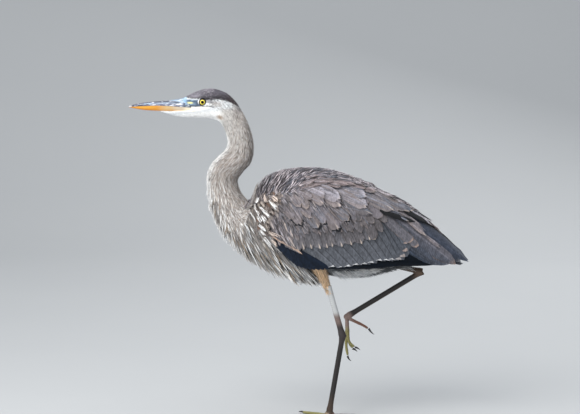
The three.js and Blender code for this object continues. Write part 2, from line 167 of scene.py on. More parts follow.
def tube_points(m, th, shrink=0.0):
    x, z, lean, deep, wide = (cubic(MARKS, v, m) for v in (SX, SZ, SLEAN, SDEEP, SWIDE))
    lean = np.radians(lean)
    n = 2 / (2 + 0.35 * step(m, MARK["pit"], MARK["ribs"]))
    c, s = np.cos(th), np.sin(th)
    up = np.sign(c) * np.abs(c) ** n * np.maximum(deep - shrink, 0.4)
    out = np.sign(s) * np.abs(s) ** n * np.maximum(wide - shrink, 0.4)
    return np.stack([x + np.cos(lean) * up, out, z + np.sin(lean) * up], -1)


# Body tube: a runs down the spine from the bill, b round it from the back (0), left side positive.
_m = np.linspace(0, END, 800)
_t = np.linspace(-PI, PI, 241)
TUBE = Surface(_m, _t, tube_points(*np.meshgrid(_m, _t, indexing="ij")), True)
if (TUBE.n[400, 120] * [0, 0, 1]).sum() < 0:
    TUBE.n *= -1


def grid_faces(na, nb, closed=False):
    i, j = np.meshgrid(np.arange(na - 1), np.arange(nb - 1), indexing="ij")
    q = np.stack([i * nb + j, i * nb + j + 1, (i + 1) * nb + j + 1, (i + 1) * nb + j], -1).reshape(-1, 4)
    return q


def make_shell():
    """The outline of back and folded wing together, as a grid over x and the distance down from the middle of the back."""
    tube = tube_points(*np.meshgrid(np.linspace(MARK["pit"], END, 220), np.linspace(-PI, PI, 97), indexing="ij"))
    faces = [grid_faces(220, 97)]
    verts = [tube.reshape(-1, 3)]
    base = len(verts[0])
    x = np.linspace(148, -332, 200)
    s = np.linspace(-1.9, 1, 70)
    X, S = np.meshgrid(x, s, indexing="ij")
    top, low, out, tuck = wing_at(X)
    mid, half = (top + low) / 2, (top - low) / 2
    Z = np.where(S >= -1, mid + half * S, low + (S + 1) * 45)
    Y = wing_face(X, S) - np.clip(-1 - S, 0, None) * 8
    verts.append(np.stack([X, Y, Z], -1).reshape(-1, 3))
    faces.append(grid_faces(200, 70) + base)
    tree = BVHTree.FromPolygons([Vector(v) for v in np.concatenate(verts)], np.concatenate(faces).tolist())
    xs = np.arange(190, -336.1, -3.0)
    phis = np.radians(np.arange(0, 151, 1.5))
    zc = np.interp(-xs, [-190, -148, 0, 191, 260, 336], [462, 450, 445, 420, 395, 358])
    R = np.zeros((len(xs), len(phis)))
    for i, (xx, zz) in enumerate(zip(xs, zc)):
        for j, f in enumerate(phis):
            d = Vector((0, math.sin(f), math.cos(f)))
            hit = tree.ray_cast(Vector((xx, 0, zz)) + d * 260, -d, 259)
            R[i, j] = (hit[0] - Vector((xx, 0, zz))).length if hit[0] is not None else np.nan
    for j in range(len(phis)):
        col = R[:, j]
        ok = ~np.isnan(col)
        if ok.any():
            R[:, j] = np.interp(np.arange(len(xs)), np.arange(len(xs))[ok], col[ok])
    R = np.nan_to_num(R, nan=60.0)
    k = np.exp(-0.5 * (np.arange(-6, 7) / 2.2) ** 2)
    k /= k.sum()
    full = np.concatenate([R[:, 6:0:-1], R, R[:, -1:].repeat(6, 1)], 1)
    R = np.stack([np.convolve(r, k, "valid") for r in full])
    full = np.concatenate([R[:1].repeat(6, 0), R, R[-1:].repeat(6, 0)], 0)
    R = np.stack([np.convolve(full[:, j], k, "valid") for j in range(R.shape[1])], 1)
    Y, Z = R * np.sin(phis), zc[:, None] + R * np.cos(phis)
    arc = np.concatenate([np.zeros((len(xs), 1)), np.cumsum(np.hypot(np.diff(Y, axis=1), np.diff(Z, axis=1)), 1)], 1)
    q = np.arange(0, 301, 2.0)
    P = np.zeros((len(xs), len(q), 3))
    for i in range(len(xs)):
        P[i, :, 0] = xs[i]
        far = arc[i, -1]
        P[i, :, 1] = np.interp(q, arc[i], Y[i])
        P[i, :, 2] = np.interp(q, arc[i], Z[i]) - np.maximum(q - far, 0)
    shell = Surface(xs, q, P, False)
    if (shell.n[60, 60] * [0, 1, 0]).sum() < 0:
        shell.n *= -1
    return shell


SHELL = make_shell()


_zs = np.arange(320.0, 580.0, 1.0)
_qs = np.stack([np.interp(-_zs, -SHELL.p[i, int(np.argmax(SHELL.p[i, :, 2])):, 2], SHELL.b[int(np.argmax(SHELL.p[i, :, 2])):]) for i in range(len(SHELL.a))])


def q_of(x, z):
    """Distance down the shell at which it has height z, at station x."""
    x, z = np.broadcast_arrays(np.asarray(x, float), np.asarray(z, float))
    i = np.clip((SHELL.a[0] - x) / 3.0, 0, len(SHELL.a) - 1.001)
    j = np.clip(z - _zs[0], 0, len(_zs) - 1.001)
    i0, j0 = i.astype(int), j.astype(int)
    fi, fj = i - i0, j - j0
    return (_qs[i0, j0] * (1 - fj) + _qs[i0, j0 + 1] * fj) * (1 - fi) + (_qs[i0 + 1, j0] * (1 - fj) + _qs[i0 + 1, j0 + 1] * fj) * fi


# ------------------------------------------------------------------ meshes
class Piece:
    """Gathers blades and sheets into one mesh with colours, an edge colour, a vane map and the bake's own map."""

    def __init__(self, name):
        self.name, self.parts, self.count = name, [], 0

    def add(self, verts, faces, tint, rim, vane, bake):
        self.parts.append((verts, faces + self.count, tint, rim, vane, bake))
        self.count += len(verts)

    def build(self, material, smooth=True):
        v, f, tint, rim, vane, bake = (np.concatenate([p[i] for p in self.parts]) for i in range(6))
        me = bpy.data.meshes.new(self.name)
        nf = len(f)
        me.vertices.add(len(v))
        me.vertices.foreach_set("co", to_part(v).astype(np.float32).ravel())
        me.loops.add(nf * 4)
        me.loops.foreach_set("vertex_index", f.astype(np.int32).ravel())
        me.polygons.add(nf)
        me.polygons.foreach_set("loop_start", np.arange(0, nf * 4, 4, dtype=np.int32))
        me.polygons.foreach_set("loop_total", np.full(nf, 4, np.int32))
        me.update(calc_edges=True)
        ring = f.ravel()
        for name, uv in (("OFBake", bake), ("vane", vane)):
            layer = me.uv_layers.new(name=name)
            layer.uv.foreach_set("vector", uv[ring].astype(np.float32).ravel())
        me.uv_layers.active = me.uv_layers["OFBake"]
        for name, col in (("tint", tint), ("rim", rim)):
            at = me.color_attributes.new(name=name, type="FLOAT_COLOR", domain="POINT")
            at.data.foreach_set("color", col.astype(np.float32).ravel())
        me.polygons.foreach_set("use_smooth", np.full(nf, smooth))
        me.materials.append(material)
        ob = bpy.data.objects.new(self.name, me)
        bpy.context.scene.collection.objects.link(ob)
        return ob


def rgba(c, a=1.0):
    c = np.asarray(c, float)
    return np.concatenate([c, np.broadcast_to(np.asarray(a, float)[..., None] if np.ndim(a) else a, c.shape[:-1] + (1,))], -1)


def blades(piece, surf, rng, a, b, turn, length, width, tint, rim, *, tip=None, root_h=-4.0, tip_h=0.0, nu=2, nv=3, shape="leaf",
           bend=0.0, camber=0.12, sign=1.0, side=1, tone=0.35, ragged=0.0, spread=0.0, curl=0.0, uvbox=None, cells=None, lift_power=1.0,
           notch=0.0, wave=0.0, lower=None, flat=False, tilt=0.0, skew=0.0):
    """Lays blades on a surface. a, b: roots. turn: angle of the blade off the surface's first axis. tint: root and tip colours
    (n,3) each; rim: edge colour and strength (n,4). side -1 mirrors the blades to the other side of the body. flat: a, b are
    x and z in the side view instead, and the blade keeps its shape there."""
    n = len(a)
    if n == 0:
        return
    u = np.linspace(-1, 1, nu + 1)
    v = np.linspace(0, 1, nv + 1)
    V, U = np.meshgrid(v, u, indexing="ij")
    U, V = U.ravel(), V.ravel()
    if shape == "leaf":  # rounded body feather
        prof = np.where(V < 0.55, 0.45 + 0.55 * np.sin(np.clip(V / 0.55, 0, 1) * PI / 2), np.sqrt(np.clip(1 - np.clip((V - 0.55) / 0.45, 0, 1) ** 2.4, 0, 1)))
    elif shape == "square":  # covert: parallel-sided with a blunt, rounded end
        prof = np.where(V < 0.12, 0.35 + 0.65 * np.sin(V / 0.12 * PI / 2), np.where(V > 0.86, np.sqrt(np.clip(1 - 0.85 * np.clip((V - 0.86) / 0.14, 0, 1) ** 2.6, 0, 1)), 1.0))
    elif shape == "paddle":  # tertial: widest past the middle, with a full round end
        prof = np.interp(V, [0, 0.12, 0.3, 0.55, 0.72, 0.84, 0.92, 0.97, 1.0], [0.30, 0.55, 0.82, 1.0, 0.98, 0.86, 0.66, 0.40, 0.08])
    elif shape == "broad":  # blunt, worn body feather
        prof = np.interp(V, [0, 0.1, 0.3, 0.55, 0.8, 0.92, 1.0], [0.45, 0.62, 0.86, 1.0, 0.95, 0.80, 0.50])
    elif shape == "lance":  # long, pointed
        prof = np.clip(np.sin(np.clip(V * 1.02, 0, 1) ** 0.62 * PI) ** 0.8, 0, 1) + 0.14 * (1 - V)
    elif shape == "hair":
        prof = 1.0 - 0.85 * V**1.6
    elif shape == "blade":  # long tertial: narrow root, full middle, soft point
        prof = np.interp(V, [0, 0.15, 0.45, 0.7, 0.86, 0.95, 1.0], [0.35, 0.72, 1.0, 0.95, 0.66, 0.34, 0.02])
    else:  # quill: parallel-sided with a round tip
        prof = np.where(V < 0.12, 0.35 + 0.65 * np.sin(V / 0.12 * PI / 2), np.where(V > 0.78, np.sqrt(np.clip(1 - np.clip((V - 0.78) / 0.22, 0, 1) ** 2.2, 0, 1)), 1.0))
    prof = np.maximum(prof, 0.04)
    length, width = np.broadcast_to(length, n).astype(float), np.broadcast_to(width, n).astype(float)
    turn = np.broadcast_to(turn, n).astype(float)
    bend = np.broadcast_to(bend, n).astype(float)
    root_h, tip_h = np.broadcast_to(root_h, n).astype(float), np.broadcast_to(tip_h, n).astype(float)
    L, W = length[:, None], width[:, None] / 2
    wob = 1.0
    if ragged:
        wob = 1 + ragged * (rng.random((n, len(U))) - 0.5) * (np.abs(U) > 0.99)
    across = U * prof * W * wob + bend[:, None] * V**2 * L + spread * W * (rng.random((n, 1)) - 0.5) * V
    along = V * L
    if skew:  # an end cut on the slant, shorter on the lower side
        along = along - skew * W * U * V**5
    if notch:
        teeth = np.repeat(rng.random((n, 1, nu + 1)), nv + 1, axis=1).reshape(n, -1)
        along = along * (1 - (0.07 * U**2 + notch * teeth) * V**5)
    if ragged:
        along = along + ragged * L * 0.12 * (rng.random((n, len(U))) - 0.5) * (V > 0.5)
    ca, sa = np.cos(turn)[:, None], np.sin(turn)[:, None]
    da, db = along * ca - across * sa, along * sa + across * ca
    if flat:
        A = a[:, None] - da
        B = q_of(A, b[:, None] - db)
    else:
        ea, eb = surf.scales(a, b)
        A = a[:, None] + sign * da / ea[:, None]
        B = b[:, None] + db / eb[:, None]
    h = root_h[:, None] + (tip_h - root_h)[:, None] * V**lift_power - camber * (U**2) * W * np.minimum(1, V * 3) + curl * L * V**3
    if tilt:  # the lower edge stands off, as shingles do
        h = h + tilt * U * W * np.minimum(1, V * 2)
    if wave:
        ph = rng.random((n, 3, 1)) * 6.28
        h = h + wave * V * (np.sin(V * 9 + 2 * U + ph[:, 0]) * 0.5 + np.sin(U * 3.4 + V * 2 + ph[:, 1]) * 0.5)
    if flat:  # near the middle of the back it goes in under the mantle
        h = h - np.clip((38.0 - B) / 18.0, 0, 1) * (h + 5.0)
    P = surf.point(A, B, h)
    if side < 0:
        P = P * [1, -1, 1]
    faces = grid_faces(nv + 1, nu + 1)
    if side * sign < 0:
        faces = faces[:, ::-1]
    F = (faces[None] + (np.arange(n) * len(U))[:, None, None]).reshape(-1, 4)
    t0, t1 = tint
    T = t0[:, None] * (1 - V[:, None]) + t1[:, None] * V[:, None]
    if lower is not None:  # the vane below the shaft has a colour of its own
        T = mix(T, lower[:, None] * (0.55 + 0.5 * V[:, None]), np.broadcast_to(step(U, -0.25, 0.35), T.shape[:-1]) * 0.7)
    T = rgba(T, np.broadcast_to(np.broadcast_to(tone, n)[:, None], T.shape[:-1]))
    R = np.broadcast_to(rim[:, None], (n, len(U), 4))
    vane = np.stack([np.broadcast_to((U + 1) / 2, (n, len(U))), np.broadcast_to(V, (n, len(U)))], -1)
    if cells is not None:
        first, cols, rows = cells
        k = first + np.arange(n)
        cw, ch = 1.0 / cols, 1.0 / rows
        cu, cv = (k % cols) * cw, (k // cols) * ch
        bake = np.stack([cu[:, None] + cw * (0.04 + 0.92 * (U + 1) / 2), cv[:, None] + ch * (0.02 + 0.96 * V)], -1)
    else:
        a0, a1, b0, b1 = uvbox
        bu = 0.01 + 0.975 * (a - a0) / (a1 - a0)
        bv = 0.01 + 0.975 * ((q_of(a, b) if flat else b) - b0) / (b1 - b0)
        bu, bv = np.clip(bu, 0.002, 0.994), np.clip(bv, 0.002, 0.994)
        bake = np.stack([bu[:, None] + 0.003 * (U + 1) / 2, bv[:, None] + 0.003 * V], -1)
    piece.add(P.reshape(-1, 3), F, T.reshape(-1, 4), R.reshape(-1, 4), vane.reshape(-1, 2), bake.reshape(-1, 2))


def rows_on(surf, rng, a0, a1, b_lo, b_hi, da, db, jitter=0.35):
    """Staggered rows of roots over a patch of a surface, with spacings in millimetres. b_lo and b_hi may be functions of a."""
    A, B = [], []
    a, k = a0, 0
    way = 1 if a1 > a0 else -1
    while (a - a1) * way < 0:
        lo = b_lo(a) if callable(b_lo) else b_lo
        hi = b_hi(a) if callable(b_hi) else b_hi
        if hi > lo:
            mid = (lo + hi) / 2
            ea, eb = surf.scales(np.array([a]), np.array([mid]))
            dda = da(a) if callable(da) else da
            ddb = db(a) if callable(db) else db
            nb = max(1, int(round((hi - lo) * eb[0] / ddb)))
            bs = lo + (hi - lo) * (np.arange(nb) + 0.25 + 0.5 * (k % 2)) / nb
            bs = bs + (rng.random(nb) - 0.5) * jitter * (hi - lo) / nb
            as_ = a + (rng.random(nb) - 0.5) * jitter * dda
            A.append(as_)
            B.append(bs)
        else:
            dda = da(a) if callable(da) else da
            ea = np.array([1.0])
        a += way * dda / max(ea[0], 0.3)
        k += 1
    return np.concatenate(A), np.concatenate(B)


# ------------------------------------------------------------------ materials
class Net:
    """A small helper that wires shader nodes."""

    def __init__(self, name):
        self.mat = bpy.data.materials.new(name)
        self.mat.use_nodes = True
        self.tree = self.mat.node_tree
        self.tree.nodes.clear()
        self.out = self.tree.nodes.new("ShaderNodeOutputMaterial")
        self.bsdf = self.tree.nodes.new("ShaderNodeBsdfPrincipled")
        self.tree.links.new(self.bsdf.outputs[0], self.out.inputs[0])

    def node(self, kind, **props):
        n = self.tree.nodes.new(kind)
        for k, v in props.items():
            setattr(n, k, v)
        return n

    def put(self, value, socket):
        if isinstance(value, (int, float)):
            socket.default_value = value
        elif isinstance(value, (tuple, list, np.ndarray)):
            v = [float(c) for c in value]
            socket.default_value = v + [1.0] if len(v) == 3 and len(socket.default_value) == 4 else v
        else:
            self.tree.links.new(value, socket)

    def math(self, op, a, b=0.0, c=0.0, clamp=False):
        n = self.node("ShaderNodeMath", operation=op, use_clamp=clamp)
        for v, s in zip((a, b, c), n.inputs):
            self.put(v, s)
        return n.outputs[0]

    def ramp(self, x, lo, hi, a=0.0, b=1.0, kind="SMOOTHSTEP"):
        n = self.node("ShaderNodeMapRange", interpolation_type=kind)
        self.put(x, n.inputs[0])
        for v, i in ((lo, 1), (hi, 2), (a, 3), (b, 4)):
            self.put(v, n.inputs[i])
        return n.outputs[0]

    def mixc(self, fac, a, b, mode="MIX"):
        n = self.node("ShaderNodeMix", data_type="RGBA", blend_type=mode, clamp_factor=True)
        self.put(fac, n.inputs[0])
        self.put(a, n.inputs[6])
        self.put(b, n.inputs[7])
        return n.outputs[2]

    def noise(self, scale, detail=3.0, rough=0.55, vec=None, stretch=None):
        n = self.node("ShaderNodeTexNoise")
        if vec is None:
            vec = self.node("ShaderNodeTexCoord").outputs["Object"]
        if stretch is not None:
            m = self.node("ShaderNodeMapping")
            self.put(vec, m.inputs[0])
            m.inputs["Scale"].default_value = stretch
            vec = m.outputs[0]
        self.put(vec, n.inputs["Vector"])
        n.inputs["Scale"].default_value = scale
        n.inputs["Detail"].default_value = detail
        n.inputs["Roughness"].default_value = rough
        return n.outputs["Fac"]

    def attribute(self, name):
        n = self.node("ShaderNodeAttribute", attribute_name=name)
        return n.outputs["Color"], n.outputs["Alpha"], n.outputs["Fac"]

    def bump(self, height, strength, distance):
        n = self.node("ShaderNodeBump")
        self.put(height, n.inputs["Height"])
        n.inputs["Strength"].default_value = strength
        n.inputs["Distance"].default_value = distance
        self.put(n.outputs[0], self.bsdf.inputs["Normal"])

    def set(self, **values):
        for k, v in values.items():
            self.put(v, self.bsdf.inputs[k.replace("_", " ")])


def feather_material(name, barbs=26, slant=5.0, shaft=0.35, fringe=(0.70, 0.95), tip=(0.80, 0.97), vary=0.22, rough=0.7, sheen=0.12, bump=0.25, depth=0.0003, dark_edge_and_shade=0.0, grain=0.15, spec=0.28):
    """Vanes with a shaft, barbs and a fringe. The rim colour's alpha is the fringe's strength; from 1 to 2 it is a streak at the tip
    instead, and from 2 to 3 a thin crescent at the very end.
    The tint's alpha over 0.5 makes the shaft pale, under 0.5 dark."""
    k = Net(name)
    tint, tone, _ = k.attribute("tint")
    rim, rim_a, _ = k.attribute("rim")
    uv = k.node("ShaderNodeUVMap", uv_map="vane").outputs[0]
    sep = k.node("ShaderNodeSeparateXYZ")
    k.put(uv, sep.inputs[0])
    u, v = sep.outputs[0], sep.outputs[1]
    e = k.math("ABSOLUTE", k.math("MULTIPLY_ADD", u, 2.0, -1.0))
    wob = k.noise(70.0, 3.0, 0.6)
    eb = k.math("ADD", e, k.math("MULTIPLY_ADD", wob, 0.3, -0.15))
    vb = k.math("ADD", v, k.math("MULTIPLY_ADD", wob, 0.12, -0.06))
    side = k.math("MULTIPLY", k.ramp(eb, fringe[0], fringe[1]), k.ramp(v, 0.25, 0.7))
    end = k.ramp(vb, tip[0], tip[1])
    edge = k.math("MULTIPLY", k.math("MAXIMUM", side, end), k.math("MULTIPLY", rim_a, k.math("LESS_THAN", rim_a, 1.001)))
    streak_a = k.math("MULTIPLY", k.math("SUBTRACT", rim_a, 1.0, clamp=True), k.math("LESS_THAN", rim_a, 2.001))
    spot = k.math("MULTIPLY", k.ramp(k.math("MULTIPLY_ADD", e, -1.0, vb), 0.70, 0.86), streak_a)
    spot = k.math("MAXIMUM", spot, k.math("MULTIPLY", k.math("MULTIPLY", k.ramp(v, 0.920, 0.940), k.ramp(k.math("ABSOLUTE", k.math("MULTIPLY_ADD", u, 2.0, -1.30)), 0.56, 0.32)), k.math("SUBTRACT", rim_a, 2.0, clamp=True)))
    col = k.mixc(k.math("MAXIMUM", edge, spot), tint, rim)
    # barbs run out and forward from the shaft
    phase = k.math("MULTIPLY_ADD", e, -slant, k.math("MULTIPLY", v, float(barbs)))
    wave = k.math("SINE", k.math("MULTIPLY", k.math("ADD", phase, k.math("MULTIPLY", wob, 1.6)), PI))
    wave = k.math("MULTIPLY_ADD", wave, 0.5, 0.5)
    big = k.noise(160.0, 4.0, 0.65)
    broad = k.noise(34.0, 3.0, 0.6)
    shade = k.math("ADD", k.math("MULTIPLY", wave, vary * 0.45), k.math("MULTIPLY", big, vary * 1.1))
    shade = k.math("ADD", shade, k.math("MULTIPLY_ADD", broad, vary * 0.9, 1.0 - vary * 1.2))
    mid = k.math("MULTIPLY", k.ramp(e, 0.13, 0.03), k.ramp(v, 1.0, 0.85))
    shade = k.math("MULTIPLY", shade, k.math("MULTIPLY_ADD", k.math("MULTIPLY", mid, k.math("MULTIPLY_ADD", tone, 2.0, -1.0)), shaft * 2.0, 1.0))
    shade = k.math("MULTIPLY", shade, k.math("MULTIPLY_ADD", k.ramp(k.noise(150.0, 4.0, 0.72, stretch=(1.7, 1.2, 0.7)), 0.40, 0.60), grain, 1.0 - 0.5 * grain))
    # the vanes' side edges made darker: the feathers' own dark edges, with painted shade where the next feather lies
    # over them
    if dark_edge_and_shade:
        shade = k.math("MULTIPLY", shade, k.math("MULTIPLY_ADD", k.math("MULTIPLY", k.ramp(e, 0.80, 0.98), k.ramp(v, 0.97, 0.80)), -dark_edge_and_shade, 1.0))
    comb = k.node("ShaderNodeCombineColor")
    for i in range(3):
        k.put(shade, comb.inputs[i])
    col = k.mixc(1.0, col, comb.outputs[0], "MULTIPLY")
    k.set(Base_Color=col, Roughness=rough, Sheen_Weight=sheen, Sheen_Roughness=0.5, Specular_IOR_Level=spec)
    height = k.math("ADD", k.math("MULTIPLY", wave, 0.6), k.math("ADD", k.math("MULTIPLY", big, 0.8), k.math("MULTIPLY", mid, 0.9)))
    k.bump(height, bump, depth)
    return k.mat


def tinted_material(name, rough=0.6, vary=0.18, scale=220.0, bump=0.3, depth=0.0003, spec=0.3, coat=0.0, cells=None, stretch=None):
    """A surface coloured by its tint attribute, broken up by noise, with an optional pattern of small scales."""
    k = Net(name)
    tint, _, _ = k.attribute("tint")
    a = k.noise(scale, 5.0, 0.62, stretch=stretch)
    b = k.noise(scale * 0.22, 3.0, 0.5, stretch=stretch)
    shade = k.math("ADD", k.math("MULTIPLY", a, vary), k.math("MULTIPLY_ADD", b, vary * 1.1, 1.0 - vary * 1.05))
    height = k.math("MULTIPLY", a, 0.5)
    if cells:
        v = k.node("ShaderNodeTexVoronoi", feature="DISTANCE_TO_EDGE")
        vec = k.node("ShaderNodeTexCoord").outputs["Object"]
        m = k.node("ShaderNodeMapping")
        k.put(vec, m.inputs[0])
        m.inputs["Scale"].default_value = cells[1]
        k.put(m.outputs[0], v.inputs["Vector"])
        v.inputs["Scale"].default_value = cells[0]
        edge = k.ramp(v.outputs["Distance"], 0.0, 0.12)
        shade = k.math("MULTIPLY", shade, k.math("MULTIPLY_ADD", edge, 0.28, 0.74))
        height = k.math("ADD", height, k.math("MULTIPLY", edge, 1.2))
    comb = k.node("ShaderNodeCombineColor")
    for i in range(3):
        k.put(shade, comb.inputs[i])
    col = k.mixc(1.0, tint, comb.outputs[0], "MULTIPLY")
    k.set(Base_Color=col, Roughness=rough, Specular_IOR_Level=spec)
    if coat:
        k.set(Coat_Weight=coat, Coat_Roughness=0.12)
    k.bump(height, bump, depth)
    return k.mat


# ------------------------------------------------------------------ colours and markings
C = {k: lin(*v) for k, v in {
    "crown": (98, 94, 103), "crown_dark": (56, 53, 58), "crown_front": (150, 146, 156), "crown_top_highlight": (158, 153, 162), "crown_back": (68, 54, 56), "crown_tip": (206, 200, 206), "ear_grey": (132, 130, 135), "cheek": (238, 241, 243), "chin": (255, 255, 252), "cream": (247, 245, 236),
    "lore": (150, 188, 220), "lore_mid": (112, 132, 152), "lore_dark": (66, 84, 104), "lore_yellow": (252, 250, 176), "line": (38, 36, 38), "buff": (190, 164, 142),
    "neck": (194, 188, 183), "neck_mid": (176, 167, 161), "neck_dark": (118, 110, 108), "neck_white": (250, 249, 247), "neck_streak": (70, 62, 60),
    "chest": (146, 141, 138), "plume": (176, 176, 176), "plume_dark": (58, 55, 52), "plume_buff": (172, 156, 138),
    "mantle": (98, 90, 95), "mantle_pale": (222, 212, 217), "mantle_dark": (40, 36, 41), "slate": (86, 93, 106),
    # hollow is a near-black for painted shadow in the gaps between the wing's feathers
    "lesser": (118, 112, 113), "lesser_rim": (168, 146, 130), "scap": (136, 129, 134), "scap_brown": (120, 111, 110), "scap_buff": (146, 134, 131), "scap_slate": (116, 119, 130), "scap_light": (172, 168, 177), "scap_tip": (196, 180, 168), "hollow": (10, 11, 14), "braid": (150, 136, 138), "braid_dark": (92, 82, 82), "tertial_line": (150, 154, 164),
    "buff_edge": (204, 176, 158), "blue_base": (34, 54, 76), "tertial_pink": (186, 162, 150),
    "marginal": (184, 172, 162), "marginal_dark": (112, 100, 95), "marginal_white": (248, 248, 248), "rufous": (126, 98, 84),
    "median": (108, 110, 118), "median_rim": (186, 172, 160), "greater": (100, 103, 110), "greater_rim": (206, 206, 208), "dark": (22, 33, 50),
    "tertial": (86, 90, 98), "tertial_rim": (150, 140, 128), "long_tertial": (86, 91, 103), "far": (70, 76, 90), "primary": (4, 17, 30),
    # belly and belly_white are darker than these feathers' own colour: painted shade of the underside
    "belly": (60, 64, 67), "belly_white": (168, 172, 176), "undertail": (112, 115, 120), "thigh": (224, 188, 148), "thigh_pale": (244, 220, 192),
    "tail": (98, 104, 116),
    "shank_pale": (206, 208, 208), "shank_pink": (128, 110, 104), "shank_dark": (62, 56, 56), "tarsus": (44, 41, 40), "tarsus_brown": (88, 70, 56),
    "foot": (150, 128, 120), "toe": (150, 144, 92), "toe_brown": (128, 92, 76), "claw": (46, 42, 42),
    "bill_dark": (62, 66, 90), "bill_side": (128, 138, 166), "bill_pale_and_highlight": (178, 206, 230), "bill_brown": (112, 96, 92), "orange": (238, 158, 50), "orange_pale": (238, 200, 142), "orange_cream": (236, 216, 188),
    "orange_glow": (250, 188, 70), "orange_deep": (206, 112, 34), "bill_cream": (248, 238, 214), "iris": (255, 238, 104), "iris_edge": (206, 166, 44), "lid": (58, 56, 58),
}.items()}
for k in C:
    if k not in ("chin", "cream", "marginal_white", "bill_cream", "mantle_pale", "belly_white", "greater_rim", "iris"):
        C[k] = C[k] / 1.20

CAP_X = np.array([172, 178, 184.4, 192.3, 202.5, 213.7, 225, 236.3, 247.6, 256.6, 262, 270, 285, 296, 304, 312], float)
CAP_Z = np.array([703, 707, 711.5, 716.5, 720.8, 725.2, 726.2, 725.4, 723.6, 723.0, 724.8, 725.4, 725.6, 726.4, 728.2, 740], float)
EYE = np.array([263.4, 12.4, 718.9])
EYE_R = 9.4


def blob(p, x, z, rx, rz, soft=0.35):
    d = np.hypot((p[..., 0] - x) / rx, (p[..., 2] - z) / rz)
    return 1 - step(d, 1 - soft, 1 + soft)


def head_colour(p, noise=0.0):
    """The head's markings, from where a point is, for the skin and the coat alike."""
    x, z = p[..., 0], p[..., 2]
    cap = np.interp(x, CAP_X, CAP_Z)
    col = mix(C["cheek"], C["chin"], step(-(z + 0.15 * (x - 240)), -704, -694))
    col = mix(col, C["cream"], blob(p, 285, 706, 32, 5))
    side = step(-x, -232, -216) * step(-z, -712, -702)
    col = mix(col, C["neck"], side * 0.8)
    col = mix(col, C["neck_mid"], step(-x, -206, -190) * 0.6)
    col = mix(col, C["buff"], blob(p, 227.5, 685.8, 7.0, 4.4, 0.6) * 0.85)
    col = mix(col, C["neck_mid"], 0.45 * blob(p, 236, 716, 16, 6, 0.6))
    col = mix(col, C["ear_grey"], 0.66 * blob(p, 249.5, 720.2, 9.5, 4.4, 0.5))
    col = mix(col, C["chin"], 0.9 * blob(p, 251.0, 713.8, 5.5, 2.7, 0.6))
    up = z - cap + noise
    crown = mix(C["crown_dark"], C["crown"], step(up, 1.5, 14.0))
    crown = mix(crown, C["crown_dark"], 0.75 * step(-x, -232, -205) * (1 - step(up, 6, 18)))
    crown = mix(crown, C["crown_front"], 0.85 * step(x, 254, 282) * step(up, 0, 4))
    # the top of the crown lighter: painted highlight
    crown = mix(crown, C["crown_top_highlight"], 0.7 * step(z, 738, 746) * step(x, 236, 252))
    crown = mix(crown, C["crown_back"], 0.7 * step(-x, -222, -200))
    top = step(up, -1.2, 1.2) * step(x, 176, 188)
    col = mix(col, crown, top)
    col = mix(col, C["crown"], 0.6 * step(-x, -196, -180) * step(z - 1.1 * (184 - x), 690, 706))
    return col


# ------------------------------------------------------------------ the skin
TWO = (1, -1)


def skin_depth(m):
    """How deep the skin lies below the coat's outline, down the body."""
    return np.interp(m, [0, MARK["chin"], MARK["cheek"], MARK["throat"], MARK["bend"], MARK["neck_foot"], MARK["breast"], MARK["belly"], MARK["tail_root"], END],
                     [0.3, 0.7, 1.3, 2.4, 3.4, 4.5, 9, 10, 8, 3])


LORE = [(318, 721.5), (311, 711.5), (297, 708.6), (284, 707.6), (272, 708.0), (266, 711), (266, 718), (268, 723.4), (284, 724.4), (300, 723.5)]
FLANGE = [(310, 709.6), (304, 696.8), (288, 696.4), (273, 698.6), (260, 702.4), (250, 706.6), (252, 709.2), (268, 709.4)]


def inside_poly(x, z, poly):
    x, z = np.asarray(x, float), np.asarray(z, float)
    c = np.zeros(x.shape, bool)
    for (x0, z0), (x1, z1) in zip(poly, poly[1:] + poly[:1]):
        hit = ((z0 > z) != (z1 > z)) & (x < (x1 - x0) * (z - z0) / ((z1 - z0) or 1e-9) + x0)
        c ^= hit
    return c


def head_relief(p, th):
    """Height of the face's folds over the plain skin: socket, brow, gape line and the hollow before the eye."""
    x, z = p[..., 0], p[..., 2]
    r = np.hypot((x - EYE[0]) / 1.05, z - EYE[2])
    side = step(np.abs(np.sin(th)), 0.35, 0.7)
    h = -1.5 * np.exp(-((r - 10.5) / 2.6) ** 2) - 0.8 * (r < 9.5)
    h = h + 1.3 * np.exp(-(((x - 268) / 17) ** 2) - ((z - 731.5) / 3.4) ** 2)
    h = h - 1.3 * np.exp(-(((x - 286) / 10) ** 2) - ((z - 717) / 3.6) ** 2)
    gape = 708.2 + 0.02 * (x - 270)
    # the horn of the lower bill runs back to the corner of the mouth, set in from the cheek
    h = h - 4.2 * step(x, 285, 291) * step(z, 695.4, 697.2) * step(-z, -727, -709)
    h = h - 0.9 * np.exp(-((z - gape) / 0.9) ** 2) * step(x, 243, 252) * step(-x, -330, -318)
    h = h + 0.5 * np.exp(-((z - gape + 2.6) / 1.6) ** 2) * step(x, 246, 256)
    h = h + 0.9 * np.exp(-(((x - 243) / 10) ** 2) - ((z - 701) / 8) ** 2)
    return h * side


def mandible_colour(x):
    """The lower bill's horn along its length, from cream at the corner of the mouth to orange."""
    x = np.asarray(x, float)
    col = mix(mix(C["cream"], C["bill_cream"], step(x, 276, 298)), C["orange_cream"], step(x, 296, 312))
    col = mix(col, C["orange_pale"], step(x, 318, 336))
    return mix(col, C["orange"], step(x, 338, 372))


